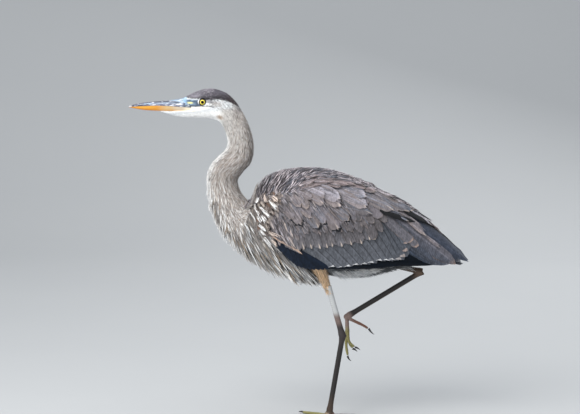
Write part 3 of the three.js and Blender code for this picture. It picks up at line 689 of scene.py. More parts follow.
def lore_colour(p):
    """The bare skin between eye and bill: blue, with a yellow spot and dark lines over and under it."""
    x, z = p[..., 0], p[..., 2]
    lore = mix(C["lore_mid"], C["lore"], step(x, 296, 303))
    lore = mix(lore, C["lore"], 0.55 * blob(p, 287, 722.0, 3.5, 1.3, 0.6))
    lore = mix(lore, C["lore_dark"], 0.8 * np.maximum(blob(p, 281, 719.5, 6.0, 1.9, 0.5), blob(p, 275, 715.5, 4.0, 4.5, 0.6)))
    lore = mix(lore, C["lore_dark"], 0.8 * blob(p, 292, 721.8, 3.8, 1.1, 0.5))
    lore = mix(lore, C["lore_yellow"], blob(p, 291.2, 716.3, 6.3, 2.0, 0.4))
    # pale blue-white spots near the bill's base, here and two lines down: painted highlight
    lore = mix(lore, C["bill_pale_and_highlight"], 0.7 * blob(p, 306, 715.5, 4.5, 2.4, 0.6))
    lore = mix(lore, C["line"], 0.6 * blob(p, 294, 712.7, 2.6, 1.1, 0.5))
    lore = mix(lore, C["bill_pale_and_highlight"], 0.5 * blob(p, 289, 712.9, 2.4, 1.1, 0.5))
    lore = mix(lore, C["line"], 0.8 * np.exp(-((z - 710.3) / 1.2) ** 2) * (0.5 + 0.5 * blob(p, 296, 710.3, 9, 3, 0.5)))
    lore = mix(lore, C["cheek"], 0.8 * np.exp(-((z - 724.3) / 0.9) ** 2) * step(x, 269, 272) * step(-x, -292, -288))
    return lore


def skin_colour(p, m, th):
    head = head_colour(p)
    x, z = p[..., 0], p[..., 2]
    bare = inside_poly(x, z, LORE) * 1.0
    lore = lore_colour(p)
    flange = inside_poly(x, z, FLANGE) * 1.0
    jaw = step(x, 286, 292) * step(-x, -352, -346) * step(z, 696.4, 697.2) * step(-z, -709, -708)
    head = mix(head, mandible_colour(x), jaw)
    head = mix(head, mandible_colour(x), flange)
    head = mix(head, C["orange_pale"], 0.35 * flange * np.exp(-((z - 697.0 - 0.12 * np.maximum(0, 290 - x)) / 0.8) ** 2) * step(x, 268, 286))
    # a pale strip at the bill's base: painted highlight
    head = mix(head, C["bill_pale_and_highlight"], step(x, 297, 299.5) * step(z, 720, 722))
    head = mix(head, lore, bare)
    under = 708.6 + 0.03 * (x - 260)
    head = mix(head, C["line"], 0.85 * np.exp(-((z - under) / 0.9) ** 2) * step(x, 247, 252) * step(-x, -292, -276))
    body = mix(C["neck"], C["neck_mid"], step(m, MARK["throat"], MARK["bend"]))
    body = mix(body, C["neck_white"], step(np.abs(th), 2.3, 2.7) * step(-m, -MARK["breast"], -MARK["pit"]))
    body = mix(body, C["mantle_dark"], step(m, MARK["neck_foot"], MARK["mantle_front"]) * (1 - step(np.abs(th), 1.2, 1.9)))
    body = mix(body, C["belly"], step(m, MARK["pit"], MARK["breast"]) * step(np.abs(th), 1.2, 1.9))
    return mix(head, body, step(m, MARK["nape"], MARK["throat"]))


def path_frames(points, n):
    """Points along a smooth line, with two directions across it: y first, then the other."""
    pts = np.asarray(points, float)
    d = np.concatenate([[0], np.cumsum(np.linalg.norm(np.diff(pts, axis=0), axis=1))])
    t = np.linspace(0, d[-1], n)
    P = np.stack([cubic(d, pts[:, i], t) for i in range(3)], 1)
    T = np.gradient(P, axis=0)
    T /= np.linalg.norm(T, axis=1, keepdims=True)
    Y = np.array([0.0, 1.0, 0.0]) - T * T[:, 1:2]
    Y /= np.linalg.norm(Y, axis=1, keepdims=True)
    Q = np.cross(Y, T)
    return t, P, T, Y, Q


def round_tube(points, radius, n, sides, side_scale=1.0):
    """radius: function of the distance along. Returns the distances, the grid of points and closing angle list."""
    t, P, T, Y, Q = path_frames(points, n)
    f = np.linspace(-PI, PI, sides + 1)
    r = radius(t)
    G = P[:, None] + r[:, None, None] * (np.cos(f)[None, :, None] * Q[:, None] + side_scale * np.sin(f)[None, :, None] * Y[:, None])
    return t, f, G


LEGS = {
    "left": dict(side=1, line=[(30, 40, 418), (-26, 30, 276), (-51, 22, 187), (-22, 0, 4)], radii=[25, 28, 21, 14.5, 10, 7.4], tarsus=["foot"]),
    "right": dict(side=-1, line=[(15, -42, 393), (-113, -41, 352), (-230, -38, 324), (-61, -31, 222)], radii=[22, 25, 23, 18, 13, 8], tarsus=["foot"]),
}
SLACK = {
    "inner": [(-62, -28, 214), (-63, -25, 186), (-67, -22, 165), (-81, -19, 153), (-92, -18, 148)],
    "middle": [(-61, -31, 213), (-61, -30, 182), (-60, -30, 156), (-64, -30, 130), (-71, -30, 119)],
    "outer": [(-62, -34, 214), (-64, -38, 186), (-66, -42, 163), (-76, -44, 145), (-86, -44, 139)],
    "hind": [(-68, -31, 217), (-82, -31, 210), (-98, -32, 202), (-112, -32, 193), (-123, -32, 180)],
}
TOES = {"inner": (-34, 72, 13), "middle": (2, 93, 14), "outer": (35, 80, 12), "hind": (187, 48, 19)}
SHANK, TARSUS, ANKLE, TOE = 6.6, 6.0, 8.8, 3.9


def standing_toe(name, side):
    bearing, length, claw = TOES[name]
    b = math.radians(bearing)
    d = np.array([math.cos(b), math.sin(b) * side, 0])
    ball = np.array([-22.0, 0, 0])
    return ball, d, length, claw


def object_from(name, verts, faces, smooth=True):
    me = bpy.data.meshes.new(name)
    me.from_pydata(to_part(verts).tolist(), [], [list(map(int, f)) for f in faces])
    me.update()
    if smooth:
        me.polygons.foreach_set("use_smooth", np.full(len(me.polygons), True))
    ob = bpy.data.objects.new(name, me)
    bpy.context.scene.collection.objects.link(ob)
    return ob


def capped(grid):
    """Verts and faces of a tube grid (n, sides + 1) whose last column repeats the first, closed at both ends."""
    g = grid[:, :-1]
    n, s = g.shape[:2]
    i, j = np.meshgrid(np.arange(n - 1), np.arange(s), indexing="ij")
    k = (j + 1) % s
    q = np.stack([i * s + j, i * s + k, (i + 1) * s + k, (i + 1) * s + j], -1).reshape(-1, 4).tolist()
    v = np.concatenate([g.reshape(-1, 3), g[0].mean(0)[None], g[-1].mean(0)[None]])
    a, b = n * s, n * s + 1
    q += [[a, (j + 1) % s, j] for j in range(s)] + [[b, (n - 1) * s + j, (n - 1) * s + (j + 1) % s] for j in range(s)]
    return v, q


def fused(name, grids, voxel, rounds=4):
    """One closed mesh from several tubes that run into each other; returns its points and faces in the bird's frame."""
    vs, fs, k = [], [], 0
    for g in grids:
        v, f = capped(g)
        vs.append(v)
        fs += [[i + k for i in face] for face in f]
        k += len(v)
    ob = object_from(name, np.concatenate(vs), fs)
    r = ob.modifiers.new("r", "REMESH")
    r.mode, r.voxel_size, r.use_smooth_shade = "VOXEL", voxel / 1000.0, True
    s = ob.modifiers.new("s", "SMOOTH")
    s.factor, s.iterations = 0.5, rounds
    done = ob.evaluated_get(bpy.context.evaluated_depsgraph_get()).to_mesh()
    v = np.zeros(len(done.vertices) * 3, np.float32)
    done.vertices.foreach_get("co", v)
    nrm = np.zeros(len(done.vertices) * 3, np.float32)
    done.vertices.foreach_get("normal", nrm)
    faces = [list(p.vertices) for p in done.polygons]
    ob.evaluated_get(bpy.context.evaluated_depsgraph_get()).to_mesh_clear()
    bpy.data.objects.remove(ob)
    quads = np.array([f if len(f) == 4 else f + [f[-1]] for f in faces])
    return v.reshape(-1, 3).astype(float) * 1000 - OFFSET, quads, nrm.reshape(-1, 3).astype(float)


def bare_leg(which):
    """Shank, ankle, tarsus, foot and toes of one leg, fused. Also what each point is near: the line's share and the toe."""
    L = LEGS[which]
    side = L["side"]
    knee, cuff, ankle, ball = (np.array(p, float) for p in L["line"])
    grids, lines = [], []
    down = (ankle - cuff) / np.linalg.norm(ankle - cuff)
    start = cuff - down * 30
    len_s = np.linalg.norm(ankle - start)
    out = (ball - ankle) / np.linalg.norm(ball - ankle)

    def shank_r(t):
        return SHANK + 0.5 * step(-t, -40, 0) + (ANKLE - SHANK) * np.exp(-((t - len_s + 2) / 11.0) ** 2) * 0.9

    grids.append(round_tube([start, ankle + down * 2], shank_r, 120, 28, 0.86)[2])
    lines.append(("shank", start, ankle))
    end = ball - out * 4 if which == "right" else ball + np.array([0, 0, 6.0])
    len_t = np.linalg.norm(end - ankle)

    def tarsus_r(t):
        return TARSUS + (ANKLE - TARSUS) * np.exp(-((t + 1) / 12.0) ** 2) + 1.6 * np.exp(-((t - len_t) / 10.0) ** 2)

    grids.append(round_tube([ankle - out * 3, end], tarsus_r, 130, 28, 0.86)[2])
    lines.append(("tarsus", ankle, end))
    claws = {}
    if which == "left":
        f = np.linspace(-PI, PI, 25)
        th = np.linspace(0.02, PI - 0.02, 14)
        g = np.stack([-22 + 11 * np.cos(th)[:, None] + 0 * f, 9.5 * np.sin(th)[:, None] * np.sin(f), np.maximum(4.2 + 7.4 * np.sin(th)[:, None] * np.cos(f), -3.9)], -1)
        grids.append(g[::-1])
        for name in TOES:
            p0, d, length, claw = standing_toe(name, side)
            drop = np.linspace(0, 1, 9)
            zz = 2.2 - 2.55 * step(drop, 0, 0.25) - 0.25 * drop + (0.5 * np.sin(drop * PI))
            pts = p0 + d * (length * drop)[:, None] + np.array([0, 0, 1.0]) * zz[:, None]
            joints = {"inner": [0.42, 0.78], "middle": [0.34, 0.62, 0.85], "outer": [0.27, 0.5, 0.7, 0.87], "hind": [0.55]}[name]

            def toe_r(t, joints=joints, length=length):
                u = t / length
                r = TOE * (1.04 - 0.3 * u)
                for j in joints:
                    r = r + 0.42 * np.exp(-((u - j) / 0.035) ** 2)
                return r * np.where(u > 0.97, np.sqrt(np.clip(1 - ((u - 0.97) / 0.05) ** 2, 0.05, 1)), 1)

            t, f2, g = round_tube(pts, toe_r, int(length * 1.3), 18, 1.0)
            g[..., 2] = np.maximum(g[..., 2], -3.9)
            grids.append(g)
            lines.append((name, pts[0], pts[-1]))
            claws[name] = (pts[-1], d, claw)
        # web between the middle and outer toes
        pm, dm, _, _ = standing_toe("middle", side)
        po, do, _, _ = standing_toe("outer", side)
        for share in (0.35, 0.65):
            d = dm * (1 - share) + do * share
            pts = [pm + np.array([0, 0, -0.6]) + d * s for s in (4, 10, 17)]
            grids.append(round_tube(pts, lambda t: 2.4 - 0.06 * t, 10, 14, 1.4)[2])
    else:
        grids.append(round_tube([ball - out * 9, ball + out * 7], lambda t: 7.2 * np.sqrt(np.clip(1 - ((t - 8) / 8.6) ** 2, 0.06, 1)), 18, 22, 0.95)[2])
        for name, pts in SLACK.items():
            pts = [np.array(p, float) for p in pts]
            seg = pts[:-1]
            length = sum(np.linalg.norm(b - a) for a, b in zip(seg, seg[1:]))
            joints = {"inner": [0.45, 0.8], "middle": [0.36, 0.66, 0.87], "outer": [0.4, 0.66, 0.88], "hind": [0.55]}[name]

            def toe_r(t, joints=joints, length=length):
                u = t / length
                r = TOE * (1.02 - 0.3 * u)
                for j in joints:
                    r = r + 0.4 * np.exp(-((u - j) / 0.04) ** 2)
                return r * np.where(u > 0.97, np.sqrt(np.clip(1 - ((u - 0.97) / 0.05) ** 2, 0.05, 1)), 1)

            first = [ball * 0.5 + seg[0] * 0.5] + seg
            grids.append(round_tube(first, toe_r, int(length * 1.3), 18, 1.0)[2])
            lines += [(name, a, b) for a, b in zip(seg, seg[1:])]
            claws[name] = (pts[-2], pts[-1] - pts[-2], np.linalg.norm(pts[-1] - pts[-2]))
    v, q, n = fused("leg_" + which, grids, 1.05)
    # scutes: broad plates down the front, small ones elsewhere
    kind = np.zeros(len(v), int)
    share = np.zeros(len(v))
    best = np.full(len(v), 1e9)
    along = np.zeros(len(v))
    for k, (name, a, b) in enumerate(lines):
        ab = b - a
        t = np.clip(((v - a) @ ab) / (ab @ ab), 0, 1)
        d = np.linalg.norm(v - (a + t[:, None] * ab), axis=1) - (0 if name in ("shank", "tarsus") else -2.2)
        hit = d < best
        best[hit] = d[hit]
        kind[hit] = {"shank": 0, "tarsus": 1}.get(name, 2)
        share[hit] = t[hit]
        along[hit] = (t * np.linalg.norm(ab))[hit]
        if name == "hind":
            kind[hit] = 3
    front = n @ (np.array([1.0, 0, 0.3]) if which == "left" else np.array([0.5, 0, 0.8]))
    pitch = np.where(kind == 2, 2.6, np.where(kind == 3, 2.6, 4.6))
    wave = np.abs(np.sin(PI * along / pitch)) ** 0.45
    topside = np.where(kind >= 2, step(n[:, 2], -0.1, 0.5), step(front, -0.2, 0.4))
    v = v + n * ((wave - 0.8) * 0.42 * topside)[:, None]
    pale, pink, dark = C["shank_pale"], C["shank_pink"], C["shank_dark"]
    if which == "left":
        col = np.where((kind == 0)[:, None], 1.0, 0.0)
        z = v[:, 2]
        shank = mix(mix(pale, pink, step(-z, -246, -230)), dark, step(-z, -222, -206))
        tars = mix(mix(dark, C["tarsus"], step(-z, -186, -150)), C["tarsus_brown"], step(-z, -60, -20) * 0.6)
        col = np.where((kind == 0)[:, None], shank, tars)
        toe = mix(C["foot"], C["toe"], step(share, 0.0, 0.3))
        col = np.where((kind == 2)[:, None], toe, col)
        col = np.where((kind == 3)[:, None], mix(C["foot"], C["toe_brown"], step(share, 0, 0.5)), col)
    else:
        x = v[:, 0]
        shank = mix(mix(C["tarsus_brown"], pale, 0.4), C["tarsus_brown"] * 0.85, step(share, 0.5, 0.85))
        tars = mix(C["tarsus_brown"] * 1.3, C["tarsus"], step(share, 0.02, 0.16))
        tars = mix(tars, C["tarsus_brown"] * 0.9, step(-n[:, 2], 0.2, 0.8)[:, None] * 0.7)
        tars = mix(tars, C["foot"], step(share, 0.93, 1.0))
        col = np.where((kind == 0)[:, None], shank, tars)
        toe = mix(C["foot"], C["toe"], step(share, 0.0, 0.5) * 0 + step(-v[:, 2], -206, -188))
        toe = mix(toe, C["toe_brown"] * 0.6, step(-n[:, 0], 0.3, 0.9)[:, None] * 0.5)
        col = np.where((kind == 2)[:, None], toe, col)
        col = np.where((kind == 3)[:, None], mix(C["foot"], C["toe_brown"], step(-x, 66, 84)), col)
    crease = (1 - wave) * topside
    col = col * (1 - 0.35 * crease[:, None])
    around = np.arctan2(n[:, 1], front)
    where = np.where(kind == 0, 0.0, np.where(kind == 1, 0.36, 0.72))
    span = np.where(kind <= 1, 0.34, 0.26)
    uv = np.stack([where + span * share, 0.06 + 0.08 * (around / PI + 1) / 2], 1)
    if which == "right":
        uv[:, 1] -= 0.05
    return v, q, col, uv, claws


def build_skin():
    P = Piece("skin")
    m = np.concatenate([np.linspace(0, MARK["throat"], 210), np.linspace(MARK["throat"], END, 190)[1:]])
    th = np.linspace(-PI, PI, 151)
    M, T = np.meshgrid(m, th, indexing="ij")
    pts = TUBE.point(M, T, -skin_depth(M))
    near = 1 - step(M, MARK["nape"], MARK["throat"])
    pts = pts + TUBE._read(TUBE.n, M, T) * (head_relief(pts, T) * near)[..., None]
    col = skin_colour(pts, M, T)
    share = np.where(M < MARK["throat"], 0.55 * M / MARK["throat"], 0.55 + 0.45 * (M - MARK["throat"]) / (END - MARK["throat"]))
    uv = np.stack([0.005 + 0.99 * share, 0.2 + 0.79 * (T + PI) / (2 * PI)], -1)
    nv = len(m) * len(th)

    def put(v, f, c, uv):
        k = len(v)
        P.add(v, f, rgba(c), np.zeros((k, 4)), np.zeros((k, 2)), uv)

    put(pts.reshape(-1, 3), grid_faces(len(m), len(th)), col.reshape(-1, 3), uv.reshape(-1, 2))
    # a near-black sheet under the back and the folded wing, so the gaps between their feathers show dark: painted shade
    x = np.linspace(150, -268, 120)
    q = np.linspace(0, 270, 70)
    X, Q = np.meshgrid(x, q, indexing="ij")
    depth = 11.0 + 0 * X
    sheet = SHELL.point(X, Q, -depth)
    c = np.broadcast_to(C["mantle_dark"], sheet.shape)
    low = wing_at(X)[1]
    for side in TWO:
        f = grid_faces(120, 70)
        keep = (sheet[..., 2] > low + 9 + 14 * step(-X, 150, 268)).reshape(-1)
        ff = f[keep[f].all(1)]
        if side > 0:
            ff = ff[:, ::-1]
        put((sheet * [1, side, 1]).reshape(-1, 3), ff, c.reshape(-1, 3), np.stack([0.6 + 0.3 * (150 - X) / 418, 0.02 + 0.03 * Q / 270], -1).reshape(-1, 2))
    claws = {}
    for which in LEGS:
        v, f, c2, uv2, claws[which] = bare_leg(which)
        put(v, f, c2, uv2)
        s, fr, g = thigh_grid(which, -4.0)
        g = g[:50]
        put(g.reshape(-1, 3), grid_faces(*g.shape[:2]), np.broadcast_to(C["thigh"] * 0.7, g.shape).reshape(-1, 3),
            np.stack(np.meshgrid(0.05 + 0.2 * np.linspace(0, 1, g.shape[0]), np.linspace(0.15, 0.19, g.shape[1]), indexing="ij"), -1).reshape(-1, 2))
    return P.build(tinted_material("skin_mat", rough=0.55, vary=0.2, scale=260, bump=0.35, depth=0.00035, spec=0.35)), claws


def thigh_radius(which):
    L = LEGS[which]
    knee, cuff = np.array(L["line"][0], float), np.array(L["line"][1], float)
    length = np.linalg.norm(cuff - knee)
    return length, lambda t, less=0.0: np.maximum(cubic([0, .2, .45, .62, .8, 1], L["radii"], t / length) - less, 5.0)


def thigh_grid(which, h=0.0):
    L = LEGS[which]
    knee, cuff = np.array(L["line"][0], float), np.array(L["line"][1], float)
    length, r = thigh_radius(which)
    return round_tube([knee, cuff], lambda t: r(t, -h), 60, 48, 0.86)


# ------------------------------------------------------------------ the coat
def vary(rng, col, amount, warm=0.03):
    n = len(col)
    f = 1 + amount * (rng.random((n, 1)) * 2 - 1)
    t = 1 + warm * (rng.random((n, 1)) * 2 - 1) * np.array([1.0, 0.0, -1.0])
    return np.clip(col * f * t, 0, 1)


def pick(rng, n, chance):
    return rng.random(n) < chance


def rims(col, strength):
    return rgba(np.asarray(col, float), np.asarray(strength, float))


def bill_half(x):
    share = np.clip((np.asarray(x, float) - 283) / 147, 0, 1)
    return 11.4 * (1 - share) ** 0.86 + 0.55


def coat_head(mats):
    rng = np.random.default_rng(11)
    P = Piece("coat_head")
    edge = MARK["nape"] + 26
    for side in TWO:
        a, b = rows_on(TUBE, rng, 1.0, edge, 0.0, PI, lambda a: np.interp(a, [0, MARK["eye"], edge], [1.7, 1.9, 3.2]), lambda a: np.interp(a, [0, MARK["eye"], edge], [1.45, 1.5, 2.2]), 0.8)
        b = np.clip(b, 0.01, PI - 0.01)
        p = TUBE.point(a, b, 0.0)
        x, y, z = p.T
        r = np.hypot((x - EYE[0]) / 1.08, z - EYE[2])
        keep = r > 9.3
        keep &= ~(inside_poly(x, z, LORE) & (y > 3))
        in_bill = (x > 284) & (y < bill_half(x) * 0.98) & (z > 697.5) & (z < np.interp(x, [283, 300, 330], [726, 725.8, 724]))
        keep &= ~in_bill
        keep &= ~(inside_poly(x, z, FLANGE) & (y > 3))
        keep &= ~((x > 287) & (z > 695.8) & (z < 724.5) & (y > 2.5))
        keep &= ~((x > 298) & (z > 695.8) & (z < 727.3)) & ~((x > 305) & (z > 695.8))
        a, b, p = a[keep], b[keep], p[keep]
        x, y, z = p.T
        n = len(a)
        grain = (np.sin(b * 31 + a * 0.31) + np.sin(b * 17.3 - a * 0.17)) * 0.5
        col = head_colour(p, noise=(rng.random(n) - 0.5) * 3.0)
        crown = z > np.interp(x, CAP_X, CAP_Z)
        mott = np.sin(x * 0.62 + 1.3 * np.sin(z * 0.45)) * np.sin(z * 0.70 + 0.9 * np.sin(x * 0.36))
        cheek = (1 - crown) * step(z, 697, 705) * step(-x, -262, -250)
        col = col * (1 - 0.46 * cheek * np.clip(mott, -0.3, 1))[:, None]
        clump = np.sin(x * 0.83 + 1.1 * np.sin(z * 0.61)) * np.sin(z * 0.95 - x * 0.35 + 0.7)
        col = np.where(crown[:, None], col * (1 + 0.20 * clump[:, None]), col)
        tipped = crown & (x > 240) & (rng.random(n) < 0.15 + 0.10 * step(x, 262, 290))
        col = np.where(tipped[:, None], mix(col, C["crown_tip"], 0.42), col)
        col = col * (1 + np.where(crown, 0.34, 0.06 + 0.10 * cheek)[:, None] * (rng.random((n, 1)) * 2 - 1) + np.where(crown, 0.12, 0.03)[:, None] * grain[:, None])
        # dark flecks behind the gape and along the lower edge of the cheek
        fleck = (blob(p, 250, 709.5, 9, 1.6, 0.5) > rng.random(n) * 1.5) | ((blob(p, 244, 708, 9, 5, 0.8) * 0.30) > rng.random(n))
        col = np.where(fleck[:, None], mix(C["lid"] * 1.3, C["ear_grey"], 0.7 * rng.random(n)), col)
        ear = blob(p, 232, 714, 16, 9, 0.7) * (1 - crown)
        col = np.where(((ear * 0.4) > rng.random(n))[:, None], mix(col, C["neck_mid"], 0.6), col)
        streaky = (step(-x, -224, -204) * (1 - crown) * 0.35) > rng.random(n)
        col = np.where(streaky[:, None], col * 0.62, col)
        size = np.interp(a, [0, MARK["lore"], MARK["eye"], MARK["cheek"], edge], [3.2, 3.4, 4.0, 6.2, 9.0])
        size = size * (0.8 + 0.4 * rng.random(n)) * np.where(np.hypot(x - EYE[0], z - EYE[2]) < 15, 0.72, 1.0)
        long_crest = crown & (x < 222)
        size = np.where(long_crest, size * 1.5, size)
        wide = np.interp(a, [0, MARK["eye"], edge], [1.35, 1.6, 2.1]) * (0.85 + 0.3 * rng.random(n))
        turn = 0.10 * (rng.random(n) - 0.5) * 2 + 0.10 * np.sin(b)
        # feathers part round the eye
        dx, dz = x - EYE[0], z - EYE[2]
        close = np.exp(-(np.hypot(dx, dz) / 15) ** 2)
        turn = turn + close * 0.9 * np.where(dx > -2, -np.sign(dz) * 0.9, np.sign(dz) * 0.5)
        # below z 706 the roots are as bright as the tips, to lift the shade under the chin and throat: painted light
        blades(P, TUBE, rng, a, b, turn, size, wide, (col * np.where(z < 706, 1.0, 0.86)[:, None], np.clip(col * 1.06, 0, 1)), rims(np.clip(col * 1.25, 0, 1), 0.35 * np.ones(n)),
               root_h=-1.4 - 0.4 * rng.random(n), tip_h=np.where(long_crest, 0.9, np.where(z < 706, -0.15, 0.15)) + 0.5 * rng.random(n), nu=2, nv=2, shape="lance", camber=0.2,
               side=side, uvbox=(0, edge, -PI, PI) if side > 0 else (edge, 0, PI, -PI), bend=(rng.random(n) - 0.5) * 0.15)
    return P.build(mats["fine"])


LIE = ([70, 110, 145, 172, 200, 226, 250], [44, 49, 54, 60, 68, 80, 90])


def towards(surf, a, b):
    """The turn that makes blades on the breast point down and back as they lie, and how far it holds: not at the edge of the view."""
    pa = surf.point(a + 1.5, b, 0.0) - surf.point(a - 1.5, b, 0.0)
    pb = surf.point(a, b + 0.03, 0.0) - surf.point(a, b - 0.03, 0.0)
    pa /= np.linalg.norm(pa, axis=-1, keepdims=True)
    pb /= np.linalg.norm(pb, axis=-1, keepdims=True)
    f = np.radians(np.interp(surf.point(a, b, 0.0)[:, 0], *LIE))
    dx, dz = -np.cos(f), -np.sin(f)
    det = pa[:, 0] * pb[:, 2] - pa[:, 2] * pb[:, 0]
    safe = np.where(np.abs(det) < 1e-3, 1e-3, det)
    turn = np.arctan2((pa[:, 0] * dz - pa[:, 2] * dx) / safe, (dx * pb[:, 2] - dz * pb[:, 0]) / safe)
    return turn, step(np.abs(det), 0.15, 0.5)


def coat_neck(mats):
    out = []
    spans = [("coat_neck_upper", MARK["nape"] + 8, MARK["bend_low"]), ("coat_neck_lower", MARK["bend_low"] - 6, MARK["pit"] + 22)]
    for k, (name, a0, a1) in enumerate(spans):
        rng = np.random.default_rng(21 + k)
        P = Piece(name)
        for side in TWO:
            a, b = rows_on(TUBE, rng, a0, a1, 0.0, PI, 3.0, 1.65, 0.9)
            b = np.clip(b, 0.01, PI - 0.01)
            n = len(a)
            p = TUBE.point(a, b, 0.0)
            t = step(a, MARK["nape"], MARK["throat"])
            base = mix(C["neck"], C["neck_mid"], step(a, MARK["throat"], MARK["bend"]))
            back = 1 - step(b, 0.5, 1.3)
            base = mix(base, C["neck_dark"] * 1.15, back * 0.55)
            low = step(a, MARK["mid_neck"], MARK["pit"])
            base = mix(base, C["chest"] * 1.22, low * 0.7)
            white = step(b, 2.25, 2.75)
            base = mix(base, C["neck_white"], white)
            col = mix(head_colour(p), base, t)
            # long soft streaks that run with the neck
            band = np.sin(b * 27 + 1.7 * np.sin(a * 0.021 + side)) + 0.8 * np.sin(b * 46 + 1.3 * np.sin(a * 0.05)) + 0.5 * np.sin(b * 11 + a * 0.05)
            col = col * (1 + 0.13 * band[:, None] * (1 - 0.7 * white[:, None]))
            col = vary(rng, col, 0.20)
            flank = np.exp(-((b - 2.42) / 0.16) ** 2)
            dark = (0.16 * flank + 0.07 * (1 - white) + 0.16 * white * step(a, MARK["throat"], MARK["bend_top"])) > rng.random(n)
            col = np.where(dark[:, None], mix(C["neck_streak"], C["neck_dark"], rng.random(n)), col)
            rust = (0.18 * (1 - white)) > rng.random(n)
            col = np.where(rust[:, None], mix(col, C["plume_buff"], 0.45), col)
            pale = (0.26 * (1 - white) * (1 - 0.5 * back)) > rng.random(n)
            col = np.where(pale[:, None], mix(col, C["neck_white"], 0.55), col)
            size = (12.5 + 5 * step(a, MARK["throat"], MARK["neck_foot"]) + 9 * step(b, 2.3, 2.9) * step(a, MARK["bend_top"], MARK["neck_foot"])) * (0.75 + 0.5 * rng.random(n))
            wide = (1.7 + 0.7 * low) * (0.8 + 0.4 * rng.random(n))
            turn = 0.16 * (rng.random(n) - 0.5) * 2 + 0.16 * np.sin(b)
            lie, sure = towards(TUBE, a, b)
            turn = turn + (lie - 0.16 * np.sin(b)) * sure * step(a, MARK["bend_low"], MARK["lower_neck"])
            stand = 0.9 + 1.4 * rng.random(n) + 3.4 * step(b, 2.5, 2.9) * step(a, MARK["bend"], MARK["mid_neck"]) * rng.random(n)
            blades(P, TUBE, rng, a, b, turn, size, wide, (col * 0.8, np.clip(col * 1.08, 0, 1)), rims(np.clip(col * 1.3, 0, 1), 0.4 * np.ones(n)),
                   root_h=-2.6 - 1.0 * rng.random(n), tip_h=stand - 0.8, nu=2, nv=3, shape="lance", camber=0.25, side=side,
                   uvbox=(a0, a1, -PI, PI) if side > 0 else (a1, a0, PI, -PI), bend=(rng.random(n) - 0.5) * 0.2)
        out.append(P.build(mats["fine"]))
    return out


def behind_wing(p, margin=4.0):
    """Whether a point of the body's side lies where the folded wing covers it."""
    x, z = p[..., 0], p[..., 2]
    return (x < 140) & (z > np.interp(x, [60, 80, 97, 104, 140], [366, 382, 402, 417, 470]) - margin)


def coat_chest(mats):
    """The breast and its sides, below the neck's foot, where long lanceolate feathers start."""
    P = Piece("coat_chest")
    rng = np.random.default_rng(31)
    box = (MARK["lower_neck"] - 16, MARK["keel"])
    for side in TWO:
        uvbox = box + (-PI, PI) if side > 0 else box[::-1] + (PI, -PI)
        a, b = rows_on(TUBE, rng, MARK["lower_neck"] - 8, MARK["keel"], lambda m: np.interp(m, [MARK["lower_neck"], MARK["shoulder"], MARK["keel"]], [0.5, 0.9, 1.5]), PI, 4.6, 2.5, 0.9)
        b = np.clip(b, 0.02, PI - 0.02)
        n = len(a)
        white = step(b, 2.5, 2.85)
        base = mix(C["chest"] * 0.90, C["neck_dark"] * 1.1, step(-b, -1.5, -0.9) * 0.5)
        base = mix(base, C["neck_white"], white * 0.75)
        band = np.sin(b * 19 + 0.8 * np.sin(a * 0.03)) + 0.5 * np.sin(b * 37 + a * 0.02)
        col = vary(rng, base * (1 + 0.09 * band[:, None]), 0.16)
        k = rng.random(n)
        col = np.where((k < 0.25)[:, None], mix(col, C["plume_buff"], 0.35), col)
        col = np.where((k > 0.90)[:, None], mix(col, C["plume_dark"], 0.5), col)
        col = np.where(((k > 0.5) & (k < 0.62))[:, None], mix(col, C["neck_white"], 0.45), col)
        size = (17 + 12 * step(a, MARK["pit"], MARK["breast"])) * (0.7 + 0.6 * rng.random(n))
        wide = 2.3 * (0.8 + 0.5 * rng.random(n))
        lie, sure = towards(TUBE, a, b)
        turn = 0.14 * (rng.random(n) - 0.5) * 2 + lie * sure
        hide = behind_wing(TUBE.point(a, b, 0.0)) * 1.0
        blades(P, TUBE, rng, a, b, turn, size, wide, (col * 0.68, np.clip(col * 1.0, 0, 1)), rims(np.clip(col * 1.3, 0, 1), 0.35 * np.ones(n)),
               root_h=-5.0 - 1.5 * rng.random(n), tip_h=-0.8 + 1.6 * rng.random(n) - 5 * hide, nu=2, nv=4, shape="lance", camber=0.3, side=side, uvbox=uvbox, bend=(rng.random(n) - 0.5) * 0.2)
        # short cream and white streaks
        n = 330
        a = MARK["mid_neck"] + (MARK["ribs"] - MARK["mid_neck"]) * rng.random(n)
        b = 1.15 + 1.95 * rng.random(n)
        chance = 0.12 + 0.88 * step(b, 1.6, 2.4)
        keep = (rng.random(n) < chance) & ~behind_wing(TUBE.point(a, b, 0.0), 10)
        a, b = a[keep], b[keep]
        n = len(a)
        col = vary(rng, np.where((rng.random(n) < 0.3)[:, None], mix(C["neck_white"], C["plume_buff"], 0.5), C["neck_white"]), 0.05)
        lie, sure = towards(TUBE, a, b)
        turn = 0.12 * (rng.random(n) - 0.5) * 2 + lie * sure
        blades(P, TUBE, rng, a, b, turn, 15 + 11 * rng.random(n), 1.7 + 1.0 * rng.random(n), (col * 0.8, col), rims(col, 0.3 * np.ones(n)),
               root_h=-1.0 * np.ones(n), tip_h=0.9 + 1.0 * rng.random(n), nu=2, nv=4, shape="lance", camber=0.3, side=side, uvbox=uvbox, bend=(rng.random(n) - 0.5) * 0.15, tone=0.5)
    return P.build(mats["plume"])


PLUME_LINE = [(196, 0, 408), (150, 0, 368), (96, 0, 334), (50, 0, 314), (22, 0, 299)]


